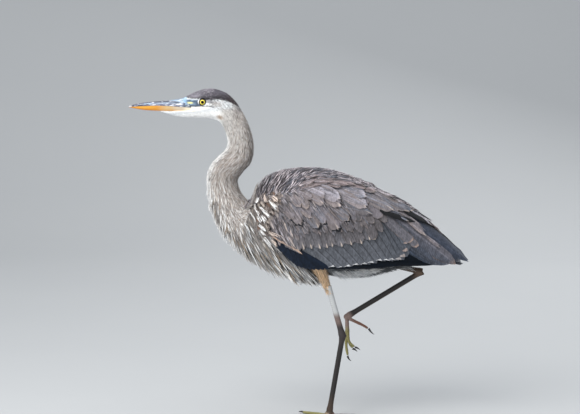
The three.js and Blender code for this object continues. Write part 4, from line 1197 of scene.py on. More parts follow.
def plume_surface():
    def body():
        t, P, T, Y, Q = path_frames(PLUME_LINE, 90)
        share = t / t[-1]
        half = (26 + 4 * share) * (1 - 0.72 * share**3)
        thick = cubic([0, 0.45, 1], [7, 11, 3], share)
        f = np.linspace(-PI, PI, 61)
        up = Q * np.where(Q[:, 2:3] < 0, -1, 1)
        G = P[:, None] + half[:, None, None] * np.sin(f)[None, :, None] * Y[:, None] + thick[:, None, None] * np.cos(f)[None, :, None] * up[:, None]
        return t, f, G

    t, f, G = body()
    s = Surface(t, f, G, True)
    if (s.n[45, 30] * [0, 0, 1]).sum() < 0:
        s.n *= -1
    return s


def plume_colours(rng, n, pale=0.5, dark=1.0):
    c = rng.random((n, 1))
    c = np.where(c > 1 - 0.34 * (1 - pale) * (1 - np.reshape(dark, (-1, 1))), pale + (1 - pale) * 0.5, c)
    col = np.where(c < pale * 0.55, C["plume"], np.where(c < pale, C["neck_white"], np.where(c < pale + (1 - pale) * 0.28, C["plume_buff"], np.where(c < pale + (1 - pale) * 0.66, C["chest"], C["plume_dark"] * 1.3))))
    return vary(rng, col, 0.16)


def free_blades(piece, rng, root, normal, aim, length, width, tint, rim, *, stand=2.0, hang=0.0, bend=0.0, nv=9, side=1, uv=None, tone=0.6, camber=0.3):
    """Feathers that leave the body: they start on it, head along aim and stand off it by their tips."""
    if uv is not None:
        uv = np.clip(uv, 0.002, 0.994)
    n = len(root)
    u = np.linspace(-1, 1, 3)
    v = np.linspace(0, 1, nv + 1)
    V, U = np.meshgrid(v, u, indexing="ij")
    U, V = U.ravel(), V.ravel()
    prof = np.maximum(np.clip(np.sin(np.clip(V * 1.02, 0, 1) ** 0.62 * PI) ** 0.8, 0, 1) + 0.14 * (1 - V), 0.04)
    N = normal / np.linalg.norm(normal, axis=1, keepdims=True)
    flat = aim - N * (aim * N).sum(1, keepdims=True)
    T = flat * (1 - hang) + aim * hang
    T /= np.linalg.norm(T, axis=1, keepdims=True)
    X = np.cross(N, T)
    X /= np.linalg.norm(X, axis=1, keepdims=True)
    length, width = np.broadcast_to(length, n), np.broadcast_to(width, n)
    stand, bend = np.broadcast_to(stand, n), np.broadcast_to(bend, n)
    across = U * prof * width[:, None] / 2 + bend[:, None] * V**2 * length[:, None]
    out = -3.0 + (stand + 3.0)[:, None] * V**1.3 - camber * (U**2) * width[:, None] / 2
    P = root[:, None] + T[:, None] * (V * length[:, None])[..., None] + X[:, None] * across[..., None] + N[:, None] * out[..., None]
    if side < 0:
        P = P * [1, -1, 1]
    faces = grid_faces(nv + 1, 3)
    if side > 0:
        faces = faces[:, ::-1]
    F = (faces[None] + (np.arange(n) * len(U))[:, None, None]).reshape(-1, 4)
    t0, t1 = tint
    Tn = rgba(t0[:, None] * (1 - V[:, None]) + t1[:, None] * V[:, None], tone)
    R = np.broadcast_to(rim[:, None], (n, len(U), 4))
    vane = np.stack([np.broadcast_to((U + 1) / 2, (n, len(U))), np.broadcast_to(V, (n, len(U)))], -1)
    bake = np.stack([uv[:, :1] + 0.003 * (U + 1) / 2, uv[:, 1:] + 0.003 * V], -1)
    piece.add(P.reshape(-1, 3), F, Tn.reshape(-1, 4), R.reshape(-1, 4), vane.reshape(-1, 2), bake.reshape(-1, 2))


def coat_plumes(mats):
    """The long, narrow feathers that hang from the foot of the neck and the breast, past the body's underside."""
    P = Piece("coat_plumes")
    rng = np.random.default_rng(41)
    down = np.array([-0.60, 0.0, -0.80])
    a0, a1 = MARK["lower_neck"] - 5, MARK["belly"] + 5

    def place(a, b, side):
        return np.stack([0.01 + 0.975 * (a - a0) / (a1 - a0), 0.01 + 0.9 * (side * b + PI) / (2 * PI)], 1)

    for side in TWO:
        for layer, (n, lo, hi, b0, b1) in enumerate(((280, "lower_neck", "breast", 1.75, 3.1), (520, "pit", "keel", 1.55, 3.1))):
            a = MARK[lo] + (MARK[hi] - MARK[lo]) * rng.random(n)
            b = b0 + (b1 - b0) * rng.random(n) ** 0.75
            root = TUBE.point(a, b, 0.0)
            nrm = TUBE._read(TUBE.n, a, b)
            low = step(b, 2.0, 2.8)
            after = step(a, MARK["pit"], MARK["breast"])
            ok = ~((root[:, 0] < 126) & (root[:, 2] > np.interp(root[:, 0], [20, 60, 100, 126], [352, 372, 396, 404])))
            tuft = np.sin(root[:, 0] * 0.16 + 2.0 * side) * np.cos(root[:, 2] * 0.13) + 0.5 * np.sin(root[:, 1] * 0.35)
            f = np.radians(np.interp(root[:, 0], *LIE))
            aim = mix(np.stack([-np.cos(f), 0 * f, -np.sin(f)], 1), down, after * 0.5)
            aim = aim + np.stack([0.10 * (rng.random(n) - 0.5) + 0.08 * tuft, 0.10 * (rng.random(n) - 0.5), 0.08 * (rng.random(n) - 0.5)], 1)
            L = (30 + 26 * after + 10 * low * after) * (1 + 0.16 * tuft) * (0.8 + 0.4 * rng.random(n))
            end_z = root[:, 2] - 0.8 * L
            line = np.interp(root[:, 0] - 0.6 * L, [10, 22, 60, 96, 150, 196], [296, 296, 313, 330, 361, 402])
            L = np.where(end_z < line - 9, np.maximum(L - (line - 9 - end_z) / 0.8, 22), L)
            w = (3.2 + 1.5 * after) * (0.8 + 0.4 * rng.random(n))
            col = plume_colours(rng, n, pale=0.26 + 0.18 * layer, dark=after * step(-root[:, 0], -130, -90))
            fringe = step(b, 2.6, 2.95) * (1 - 0.6 * after)
            col = mix(col, C["neck_white"], 0.85 * fringe)
            k0 = int(ok.sum())
            free_blades(P, rng, root[ok], nrm[ok], aim[ok], L[ok], w[ok], (col[ok] * (0.5 - 0.2 * after[ok, None]), col[ok] * 1.02), rims(np.clip(col[ok] * 1.2, 0, 1), 0.35 * np.ones(k0)),
                        stand=(0.8 + 3.5 * rng.random(n) * (0.3 + after) + 2.5 * low)[ok], hang=0.34, bend=(0.10 * (rng.random(n) - 0.5))[ok], side=side, uv=place(a[ok], b[ok], side))
        # white ones down the middle of the breast, whose ends stand out of its outline
        n = 84
        a = MARK["mid_neck"] + (MARK["ribs"] - MARK["mid_neck"]) * (np.arange(n) + rng.random(n)) / n
        b = 2.5 + 0.6 * rng.random(n)
        root = TUBE.point(a, b, 0.0)
        f = np.radians(np.interp(root[:, 0], *LIE)) + 0.12 * (rng.random(n) - 0.5)
        aim = np.stack([-np.cos(f), 0.06 * (rng.random(n) - 0.5), -np.sin(f)], 1)
        col = vary(rng, np.where((rng.random(n) < 0.25)[:, None], mix(C["neck_white"], C["plume_buff"], 0.4), C["neck_white"]), 0.06)
        w = 3.4 + 1.6 * step(a, MARK["lower_neck"], MARK["breast"])
        ok = ~((root[:, 0] < 96))
        free_blades(P, rng, root[ok], TUBE._read(TUBE.n, a, b)[ok], aim[ok], (26 + 16 * rng.random(n) + 8 * step(a, MARK["lower_neck"], MARK["breast"]))[ok], (w * (0.8 + 0.4 * rng.random(n)))[ok], (col[ok] * 0.6, col[ok]),
                    rims(col[ok], 0.2 * np.ones(int(ok.sum()))), stand=(1.6 + 2.4 * rng.random(n))[ok], hang=0.30, bend=(0.08 * (rng.random(n) - 0.5))[ok], side=side, uv=place(a[ok], b[ok], side))
        # the last, longest ones under the wing's front
        n = 130
        t = rng.random(n)
        root = np.stack([96 - 62 * t, 4 + 34 * rng.random(n), np.interp(t, [0, 1], [352, 338]) + 10 * rng.random(n)], 1)
        root[:, 2] = np.maximum(root[:, 2], 344 - 0.2 * root[:, 1])
        nrm = np.stack([0.25 + 0 * t, 0.5 + 0.4 * root[:, 1] / 38, -0.6 + 0.8 * root[:, 1] / 38], 1)
        L = (34 + 26 * rng.random(n)) * (1 - 0.15 * t)
        col = plume_colours(rng, n, pale=0.58)
        aim = down + 0.14 * (rng.random((n, 3)) - 0.5)
        free_blades(P, rng, root, nrm, aim, L, 4.6 * (0.8 + 0.4 * rng.random(n)), (col * 0.34, col * 1.04), rims(np.clip(col * 1.2, 0, 1), 0.4 * np.ones(n)),
                    stand=1.0 + 3 * rng.random(n), hang=0.7, bend=0.12 * (rng.random(n) - 0.3), side=side, uv=place(MARK["ribs"] + (MARK["belly"] - MARK["ribs"]) * t, 2.2 + 0.9 * (1 - root[:, 1] / 38), side))
    # a tapering core under them, so that no light shows through, coloured dark as painted shade between the plumes
    S = plume_surface()
    total = S.a[-1]
    t = np.linspace(total * 0.16, total * 0.84, 50)
    A, B = np.meshgrid(t, np.linspace(-PI, PI, 49), indexing="ij")
    g = S.point(A, B, -1.8)
    mid = g[:, :-1].mean(1, keepdims=True) + np.array([0, 0, 5.0])
    share = (A - t[0]) / (t[-1] - t[0])
    g = mid + (g - g[:, :-1].mean(1, keepdims=True)) * (0.02 + 0.72 * np.sqrt(np.clip(np.sin(np.clip(share, 0, 1) * PI), 0, 1)))[..., None]
    P.add(g.reshape(-1, 3), grid_faces(50, 49), rgba(np.broadcast_to(C["plume_dark"] * 1.2, (g.size // 3, 3))), np.zeros((g.size // 3, 4)),
          np.broadcast_to([0.5, 0.5], (g.size // 3, 2)), np.stack([0.01 + 0.03 * share, 0.975 + 0.02 * (B + PI) / 6.3], -1).reshape(-1, 2))
    return P.build(mats["plume"])


def coat_belly(mats):
    """Soft, loose feathers of the belly, flanks and undertail, each a small bunch of fine strands."""
    P = Piece("coat_belly")
    rng = np.random.default_rng(51)
    a0, a1 = MARK["breast"] - 20, END - 4
    for side in TWO:
        a, b = rows_on(TUBE, rng, a0, a1, lambda m: np.interp(m, [a0, MARK["keel"], MARK["rump"], END], [1.35, 1.25, 1.2, 1.0]), PI, 9.0, 7.5, 0.9)
        b = np.clip(b, 0.02, PI - 0.02)
        n = len(a)
        white = step(a, MARK["belly"], MARK["rump"])
        col = mix(C["belly"], C["belly_white"], (0.02 + 0.7 * rng.random(n) ** 3) * (0.6 + 0.4 * white))
        # half as bright towards the rear, under the wing's end and the tail: painted shade
        col = col * (1 - 0.5 * step(-TUBE.point(a, b, 0.0)[:, 0], 96, 140))[:, None]
        col = mix(col, C["undertail"], step(a, MARK["rump"], MARK["tail_coverts"]) * 0.5)
        dark = pick(rng, n, 0.16)
        col = np.where(dark[:, None], col * 0.55, col)
        col = vary(rng, col, 0.14)
        size = np.interp(a, [a0, MARK["belly"], MARK["tail_root"], END], [24, 30, 30, 20]) * (0.75 + 0.5 * rng.random(n))
        base_turn = 0.15 * (rng.random(n) - 0.5)
        m_ = step(a, MARK["keel"], MARK["vent"])
        for strand in range(5):
            off = (strand - 2) * 0.16
            c = col * (0.9 + 0.2 * rng.random((n, 1)))
            blades(P, TUBE, rng, a, b, base_turn + off + 0.1 * (rng.random(n) - 0.5), size * (1 - 0.06 * abs(strand - 2)) * (0.85 + 0.3 * rng.random(n)), 3.0 + 1.2 * rng.random(n),
                   (c * 0.75, np.clip(c * 1.12, 0, 1)), rims(np.clip(c * 1.3, 0, 1), 0.5 * np.ones(n)), root_h=-8.5 - rng.random(n), tip_h=-1.5 + 4.0 * m_ * rng.random(n) + 2.0 * rng.random(n),
                   nu=1, nv=4, shape="lance", camber=0.0, side=side, uvbox=(a0, a1, -PI, PI) if side > 0 else (a1, a0, PI, -PI), bend=(rng.random(n) - 0.5) * 0.35)
        # long pale wisps that hang out along the flank and from the far thigh
        wisps = [(-18 - 84 * t_, 336 + 10 * t_) for t_ in rng.random(76)]
        W = np.array(wisps)
        n = len(W)
        m_near = np.interp(-W[:, 0], [25, 92, 151, 198, 240], [MARK["belly"], MARK["vent"], MARK["rump"], MARK["tail_root"], MARK["tail_coverts"]])
        bb = np.linspace(0.9, PI - 0.05, 120)
        zs = TUBE.point(np.repeat(m_near[:, None], 120, 1), np.repeat(bb[None], n, 0), 0.0)[..., 2]
        b = bb[np.argmin(np.abs(zs - W[:, 1:]), 1)] + 0.1 * rng.random(n)
        lie = np.where(rng.random(n) < 0.5, 0.5, 0.3) * np.sin(b)
        c = vary(rng, mix(C["belly_white"], C["neck_white"], rng.random(n)) * 0.9, 0.12)
        for strand in range(3):
            blades(P, TUBE, rng, m_near, b, lie + 0.12 * (strand - 1) + 0.1 * (rng.random(n) - 0.5), 26 + 20 * rng.random(n), 1.7 + 1.0 * rng.random(n), (c * 0.6, c), rims(c, 0.2 * np.ones(n)),
                   root_h=-4.0 * np.ones(n), tip_h=3.5 + 5.5 * rng.random(n) * np.interp(-W[:, 0], [10, 30, 60, 110], [1, 1, 0.9, 0.1]), nu=1, nv=5, shape="lance", camber=0.0, side=side, uvbox=(a0, a1, -PI, PI) if side > 0 else (a1, a0, PI, -PI), bend=(rng.random(n) - 0.5) * 0.4)
        if side > 0:  # a few that hang free below the flank
            w_ = np.flatnonzero((W[:, 0] < -24) & (W[:, 0] > -68))[:34]
            n = len(w_)
            aim = np.array([-0.74, 0.0, -0.64]) + 0.24 * (rng.random((n, 3)) - 0.5)
            free = c[w_]
            free_blades(P, rng, TUBE.point(m_near[w_], b[w_], -1.0), np.tile([0.0, 0.7, -0.7], (n, 1)), aim, 16 + 15 * rng.random(n), 1.7 + 0.9 * rng.random(n), (free * 0.5, free), rims(free, 0.2 * np.ones(n)), stand=1.0 + 2 * rng.random(n),
                        hang=0.85, bend=0.2 * (rng.random(n) - 0.5), side=side, uv=np.stack([0.01 + 0.97 * (m_near[w_] - a0) / (a1 - a0), 0.01 + 0.97 * (b[w_] + PI) / (2 * PI)], 1))
        if side < 0:
            n = 60
            t = rng.random(n)
            root = np.stack([-158 - 34 * t, 20 + 12 * rng.random(n), 345 - 6 * t + 6 * rng.random(n)], 1)
            m_at = np.interp(-root[:, 0], [92, 151, 198, 240], [MARK["vent"], MARK["rump"], MARK["tail_root"], MARK["tail_coverts"]])
            aim = np.array([-0.86, 0.0, -0.5]) + 0.2 * (rng.random((n, 3)) - 0.5)
            c = vary(rng, mix(C["belly_white"], C["neck_white"], rng.random(n)) * 0.8, 0.16)
            free_blades(P, rng, root, np.tile([0.0, 0.6, -0.8], (n, 1)), aim, 18 + 14 * rng.random(n), 2.2 + 1.0 * rng.random(n), (c * 0.45, c), rims(c, 0.2 * np.ones(n)), stand=1.0 + 2 * rng.random(n), hang=0.9,
                        bend=0.2 * (rng.random(n) - 0.5), side=side, uv=np.stack([0.01 + 0.97 * (m_at - a0) / (a1 - a0), 0.06 + 0.1 * t], 1))
    return P.build(mats["down"])


def coat_back(mats):
    """Mantle, back and rump: narrow streaky feathers down to where the scapulars start."""
    P = Piece("coat_back")
    rng = np.random.default_rng(61)
    mx, mz = [-196, -172, -142, -101, -52, -22, 11, 56, 108, 158, 202, 240], [500, 470, 490, 507, 519, 533, 542, 538, 532, 514, 492, 462]

    def low(x):
        return float(q_of(np.array([x]), np.array([np.interp(-x, mx, mz)]))[0])

    for side in TWO:
        a, b = rows_on(SHELL, rng, 184, -262, 0.0, low, 5.2, 3.5, 0.9)
        n = len(a)
        p = SHELL.point(a, b, 0.0)
        front = step(a, 60, 150)
        edge = np.array([low(x) for x in a]) - b  # how far above the mantle's lower border
        braid = np.sin(a * 0.15 + 0.6 * np.sin(b * 0.12)) * np.cos(b * 0.17 + 0.5)
        base = mix(C["mantle"], C["mantle_dark"], 0.40 + 0.5 * np.clip(-braid, 0, 1))
        base = mix(base, C["scap_brown"], (1 - front) * np.clip(1 - edge / 26, 0, 1) * 0.7)
        k = rng.random(n)
        band = step(a, -40, -20) * step(-a, -44, -30) * step(edge, 12, 24)
        slate = (0.12 + 0.26 * band + 0.6 * blob(p, 72, 541, 10, 10, 0.4) + 0.4 * blob(p, 78, 532, 12, 8, 0.5)) > k
        base = np.where(slate[:, None], mix(base, C["slate"], 0.75), base)
        pale = k > 0.72 - 0.05 * front
        base = np.where(pale[:, None], mix(base, C["mantle_pale"], 0.55 + 0.5 * rng.random(n)), base)
        # about a quarter of the strands near-black, for the dark gaps between the pale streaks: painted shade
        base = np.where(((k < 0.58) & (k > 0.34))[:, None], C["mantle_dark"] * 0.7, base)
        base = vary(rng, base, 0.12)
        size = (17 + 17 * step(-a, -120, 60)) * (0.7 + 0.6 * rng.random(n))
        wide = np.where(pale, 1.45, 3.3) * (0.85 + 0.3 * rng.random(n)) * (0.8 + 0.4 * step(-a, -170, -60))
        rise = np.radians(np.interp(-a, [-184, -140, -100, -76, -50, -28, 0, 50, 100, 262], [50, 58, 58, 54, 40, 20, 4, -10, -20, -32]))
        ridge = np.arctan2(SHELL.point(a - 3, b, 0.0)[:, 2] - SHELL.point(a + 3, b, 0.0)[:, 2], 6.0)
        turn = (ridge - rise) * step(b, 4, 22) + 0.30 * braid + (0.12 + 0.12 * front) * (rng.random(n) - 0.5) * 2
        turn = np.maximum(turn, -np.arcsin(np.clip((b - 1) / size, 0, 0.95)))
        blades(P, SHELL, rng, a, b, turn, size, wide, (base * 0.55, np.clip(base * 1.06, 0, 1)), rims(np.clip(mix(base, C["mantle_pale"], 0.5), 0, 1), 0.08 + 0.2 * rng.random(n)),
               root_h=-5.0 - rng.random(n), tip_h=-0.9 + 2.2 * rng.random(n) + 0.8 * np.clip(braid, 0, 1) + np.where(pale, 1.3, 0.0), nu=2, nv=5, shape="lance", camber=0.3, sign=-1.0, side=side,
               uvbox=(-262, 196, -200, 200) if side > 0 else (196, -262, 200, -200), bend=(rng.random(n) - 0.5) * 0.2)
    return P.build(mats["streak"])


def lay(P, surf, rng, feathers, side=1, cells=None, uvbox=None, nv=22, nu=8):
    """Feathers given one by one: root and tip in the side view, width, colours and heights."""
    k, cols, rows = cells or (0, 1, 1)
    for f in feathers:
        few = f.get("fine", False)
        (x0, z0), (x1, z1) = f["from"], f["to"]
        c = np.array([f["col"]]) * (1 + 0.06 * (rng.random() * 2 - 1))
        low = np.array([f["low"]]) if "low" in f else None
        blades(P, surf, rng, np.array([x0], float), np.array([z0], float), np.array([math.atan2(z0 - z1, x0 - x1)]), math.hypot(x0 - x1, z0 - z1), f["w"], (c * f.get("root", 0.8), c * f.get("end", 1.05)),
               rgba(np.array([f["rim"]]), np.array([f.get("rs", 0.7)])), root_h=np.array([f["h0"]]), tip_h=np.array([f["h1"]]), nu=2 if few else nu, nv=8 if few else nv, shape=f.get("shape", "quill"),
               camber=f.get("camber", 0.10), sign=-1.0, side=side, cells=(k, cols, rows) if cells else None, uvbox=uvbox, bend=np.array([f.get("bend", 0.0)]), ragged=f.get("ragged", 0.0), tone=f.get("tone", 0.35),
               notch=f.get("notch", 0.0), wave=f.get("wave", 0.0), lower=low, flat=True, tilt=f.get("tilt", 0.0), skew=f.get("skew", 0.0))
        k += 1
    return k


def along_line(points, n):
    pts = np.asarray(points, float)
    d = np.concatenate([[0], np.cumsum(np.hypot(*np.diff(pts, axis=0).T))])
    t = np.linspace(0, d[-1], n)
    return np.stack([np.interp(t, d, pts[:, 0]), np.interp(t, d, pts[:, 1])], 1)


def row_of(heads, ends, n, **facts):
    """n feathers whose roots and tips run along two lines."""
    return [dict(facts, **{"from": tuple(a), "to": tuple(b), "k": i}) for i, (a, b) in enumerate(zip(along_line(heads, n), along_line(ends, n)))]


SCAPULARS = [  # root, tip, width, upper vane, lower vane, height at the tip, light at the tip
    ((88, 508), (56, 465), 23, "scap", "scap_brown", 1.4, 0.3), ((75, 509), (38, 453), 27, "scap_brown", "scap", 1.8, 0.35), ((57, 507), (17, 469), 19, "scap", "scap_buff", 2.5, 0.4),
    ((41, 502), (-2, 447), 29, "scap_brown", "scap_slate", 2.0, 1.7), ((22, 499), (-15, 457), 21, "scap", "scap_slate", 2.6, 0.4), ((5, 499), (-46, 443), 33, "scap", "scap_brown", 2.3, 1.6),
    ((-20, 501), (-67, 464), 28, "scap_brown", "scap_slate", 2.7, 0.7),
    ((71, 525), (41, 493), 20, "scap", "scap_buff", 2.7, 0.5), ((53, 532), (23, 488), 19, "scap_brown", "scap_buff", 3.1, 0.5), ((37, 530), (-11, 498), 21, "scap", "scap_buff", 3.3, 1.6),
    ((9, 533), (-49, 495), 26, "scap", "scap_buff", 3.5, 1.7), ((57, 530), (16, 512), 16, "scap", "scap_brown", 3.4, 0.3), ((24, 537), (-11, 512), 18, "scap", "scap_brown", 3.9, 0.4),
    ((40, 541), (-13, 519), 22, "scap_light", "scap", 3.9, 0.2), ((32, 544), (-49, 511), 28, "scap_light", "scap", 4.1, 0.3),
    ((-32, 509), (-122, 477), 26, "scap_slate", "scap_brown", 2.6, 1.6), ((-32, 531), (-108, 490), 27, "scap_light", "scap_buff", 3.6, 1.8), ((-42, 538), (-105, 513), 20, "scap_light", "scap_slate", 4.0, 0.4),
    ((-74, 534), (-172, 480), 31, "scap_slate", "scap_buff", 3.2, 1.9), ((-122, 521), (-204, 475), 18, "scap_slate", "scap_brown", 2.4, 0.6), ((-136, 518), (-211, 476), 17, "slate", "scap_slate", 2.0, 0.9),
    ((-72, 545), (-126, 519), 15, "scap", "scap_brown", 3.6, 0.4), ((-172, 482), (-245, 421), 14, "scap", "scap_buff", 2.6, 1.95), ((-118, 498), (-205, 456), 10, "scap_slate", "scap_slate", 1.6, 0.5),
    ((-190, 487), (-256, 440), 4, "scap_light", "scap_light", 2.2, 0.6), ((-229, 427), (-272, 391), 8, "scap", "scap", 1.2, 1.6),
]
BRAID = [  # the loose, drooping feathers along the mantle's lower border
    ((52, 536), (9, 547), 9, "braid", "braid_dark", 3.4, 0.5), ((38, 545), (-22, 546), 10, "braid", "braid_dark", 3.8, 0.6), ((25, 553), (-35, 545), 9, "braid_dark", "braid", 3.6, 0.4), ((5, 552), (-67, 538), 11, "braid", "braid_dark", 4.0, 0.6),
    ((-18, 552), (-82, 536), 10, "braid", "braid_dark", 4.2, 0.6), ((-40, 551), (-108, 527), 10, "braid_dark", "braid", 4.2, 0.7), ((-64, 545), (-128, 518), 9, "braid", "braid_dark", 4.0, 0.7), ((46, 531), (-4, 541), 8, "braid", "braid_dark", 3.6, 0.5),
    ((-2, 545), (-49, 533), 9, "braid_dark", "braid", 3.8, 0.6),
    ((46, 560), (6, 560), 6, "slate", "braid_dark", 1.0, 0.2), ((24, 560), (-24, 557), 5, "braid", "slate", 1.4, 0.3), ((6, 559), (-45, 553), 6, "slate", "scap_slate", 1.4, 0.2), ((40, 555), (2, 556), 5, "braid", "braid_dark", 1.8, 0.5),
    ((-30, 557), (-74, 546), 6, "slate", "braid_dark", 1.6, 0.3),
]
LARGER = [  # the coverts that lie over the tertials' roots
    ((-124, 478), (-151, 457), 16, 0.2), ((-98, 470), (-126, 417), 27, 1.0), ((-117, 470), (-141, 434), 16, 0.7), ((-78, 472), (-94, 433), 20, 0.6), ((-56, 474), (-73, 436), 18, 0.4),
    ((-94, 477), (-122, 455), 17, 1.3), ((-65, 478), (-92, 462), 15, 1.1),
]
SHADOW_GAPS = [  # painted shadow: near-black blades where the gaps between the longest scapulars and the tertials show: start, end, width, height
    ((-133, 480.5), (-210, 447.5), 11, 2.2), ((-76, 538), (-111, 524.5), 4, 3.4), ((-172, 487), (-246, 440), 8, 2.0), ((-154, 508.5), (-177, 497), 4, 2.6),
]
MEDIAN = ([(92, 457), (76, 457), (58, 457.5), (40, 454), (22, 454), (2, 452), (-14, 449.5), (-30, 447), (-52, 449), (-72, 455), (-92, 457)],
          [(56, 393.5), (43, 386.5), (33, 394.5), (16, 396.5), (-3, 396.5), (-19, 398), (-30.5, 400.5), (-52, 401), (-73, 404.5), (-96, 406.5), (-114, 415)])
GREATER = ([(38, 401), (23, 403), (4.5, 408), (-8, 412), (-31, 414), (-50, 419), (-68, 423), (-89, 429), (-104, 438), (-117, 444), (-128, 455), (-143, 463), (-147, 471), (-153, 475)],
           [(-10, 361), (-34, 355.5), (-57, 355), (-70, 356.3), (-88, 359.5), (-107, 361), (-122, 363.5), (-141, 368), (-159, 368), (-172, 369), (-186, 369.5), (-195, 376), (-200, 390), (-201, 409)])


def wing_large(mats, side, name):
    """The quills of one folded wing with their greater and median coverts and tertials."""
    P = Piece(name)
    rng = np.random.default_rng(71 + side)
    F = []
    # primaries: long and near-black, along the wing's lower edge
    for k_, (a, b, w) in enumerate((((60, 372), (-120, 352.5), 15), ((30, 372), (-170, 353), 16), ((0, 374), (-215, 353.5), 17), ((-40, 378), (-250, 354), 17), ((-80, 382), (-282, 354), 16), ((-110, 388), (-304, 354), 15), ((40, 360), (-110, 351.5), 11), ((-20, 360), (-180, 350.8), 11), ((-90, 360), (-262, 351), 11), ((30, 352), (-90, 348.5), 9), ((-10, 351), (-150, 348.5), 9))):
        F.append({"from": a, "to": b, "w": w, "col": C["primary"] * (0.75 + 0.1 * (k_ % 2)), "rim": C["far"], "rs": 0.15, "h0": -7.0 + 0.3 * k_, "h1": -5.2 + 0.3 * k_, "bend": 0.0, "shape": "blade", "tone": 0.45})
    for k_, (a, b, w) in enumerate((((-60, 392), (-236, 360), 22), ((-86, 402), (-256, 362), 22))):
        F.append({"from": a, "to": b, "w": w, "col": C["primary"] * 1.1, "rim": C["far"], "rs": 0.15, "h0": -6.6, "h1": -4.8 + 0.3 * k_, "bend": 0.0, "shape": "blade", "tone": 0.45})
    # primary coverts and alula: the dark patch at the wing's lower front
    for f in row_of([(110, 424), (100, 418), (84, 408), (66, 398), (52, 390)], [(97, 401), (80, 386), (65, 371), (46, 356), (30, 351), (8, 349.5), (-12, 351), (-22, 354)], 15, w=12, col=C["dark"], rim=C["dark"] * 2.4, rs=0.3, h0=-4.4, h1=-1.6, bend=0.08, tone=0.45):
        f["col"] = f["col"] * (0.75 + 0.12 * (f["k"] % 3))
        F.append(f)
    # the pale line above it: narrow feathers laid along the edge
    for n_, (a, b) in enumerate((((107, 423), (94, 415)), ((99, 418), (84, 408)), ((88, 412.5), (74, 403.5)), ((79, 406), (62, 398)), ((66, 400.5), (52, 391.5)), ((56, 395), (40, 385)))):
        F.append({"from": a, "to": b, "w": 4.2, "col": mix(C["buff_edge"], C["median"], (0.0, 0.1, 0.35, 0.55, 0.3, 0.05)[n_]), "rim": C["buff_edge"], "rs": 0.5, "h0": -1.2, "h1": 0.5, "bend": 0.03, "shape": "lance", "tone": 0.5, "fine": True})
    # behind them all, the far tertials that reach the tail; then the dark blue base, and the long ones one over another
    F += [{"from": (-168, 484), "to": (-334, 355), "w": 34, "col": C["far"] * 0.92, "rim": C["far"] * 1.5, "rs": 0.5, "h0": -4.6, "h1": -1.4, "bend": -0.01, "shape": "blade", "tone": 0.6},
          {"from": (-164, 474), "to": (-316, 354), "w": 32, "col": C["far"] * 0.62, "rim": C["greater_rim"], "rs": 0.2, "h0": -5.0, "h1": -2.4, "bend": -0.01, "shape": "paddle", "tone": 0.6},
          {"from": (-140, 424), "to": (-250, 357), "w": 28, "col": C["blue_base"] * 0.8, "rim": C["far"], "rs": 0.25, "h0": -5.8, "h1": -3.8, "bend": 0.02, "shape": "paddle", "tone": 0.5},
          {"from": (-150, 436), "to": (-266, 359), "w": 36, "col": C["blue_base"], "rim": C["far"], "rs": 0.3, "h0": -5.6, "h1": -3.4, "bend": 0.02, "shape": "paddle", "tone": 0.55},
          {"from": (-136, 440), "to": (-280, 358), "tilt": 0.05, "camber": 0.02, "w": 40, "col": mix(C["blue_base"], C["long_tertial"], 0.55), "rim": C["tertial_line"], "rs": 0.5, "h0": -5.4, "h1": -2.8, "bend": 0.03, "shape": "paddle", "tone": 0.7},
          {"from": (-142, 452), "to": (-288, 357), "tilt": 0.05, "camber": 0.02, "w": 42, "col": mix(C["blue_base"], C["long_tertial"], 0.85), "rim": C["tertial_line"], "rs": 0.5, "h0": -5.2, "h1": -2.2, "bend": 0.03, "shape": "paddle", "tone": 0.7},
          {"from": (-146, 464), "to": (-293, 357), "tilt": 0.05, "camber": 0.02, "w": 44, "col": C["long_tertial"], "low": C["long_tertial"], "rim": C["tertial_line"], "rs": 0.5, "h0": -5.0, "h1": -1.6, "bend": 0.03, "shape": "paddle", "tone": 0.7},
          {"from": (-150, 478), "to": (-309, 356), "tilt": 0.03, "camber": 0.04, "w": 47, "col": mix(C["long_tertial"], C["scap"], 0.45), "low": C["long_tertial"], "rim": C["tertial_pink"], "rs": 0.65, "h0": -4.8, "h1": -0.8, "bend": 0.03, "shape": "blade", "tone": 0.72,
           "wave": 0.4}]
    # greater coverts, each over the one in front, with a white crescent at its end
    heads, ends = GREATER
    for k_, (a, b) in enumerate(zip(heads, ends)):
        late = float(step(k_, 8, 13))
        F.append({"from": a, "to": b, "w": 27 + 4 * late, "col": mix(C["greater"], C["tertial"], late) * (0.97 + 0.04 * ((k_ * 7) % 3)), "rim": mix(C["greater_rim"], C["tertial_pink"], late), "rs": 2.95 - 0.3 * late, "h0": -5.2,
                  "h1": -3.1 + 0.16 * k_, "bend": 0.05, "shape": "square", "tone": 0.60 + 0.18 * late, "root": 0.86, "wave": 0.25, "camber": 0.02, "tilt": 0.075, "skew": 0.55 * (1 - late), "low": mix(C["greater"], C["tertial"], late) * 1.10})
    # the last of them have buff edges all round
    for a, b, w, h in (((-140, 472), (-199, 403), 22, -0.5), ((-150, 470), (-211, 390), 16, -0.8)):
        F.append({"from": a, "to": b, "w": w, "col": mix(C["tertial"], C["scap"], 0.4), "rim": C["tertial_pink"], "rs": 0.75, "h0": -4.4, "h1": h, "bend": -0.10, "shape": "square", "tone": 0.6, "wave": 0.3, "camber": 0.03, "tilt": 0.05})
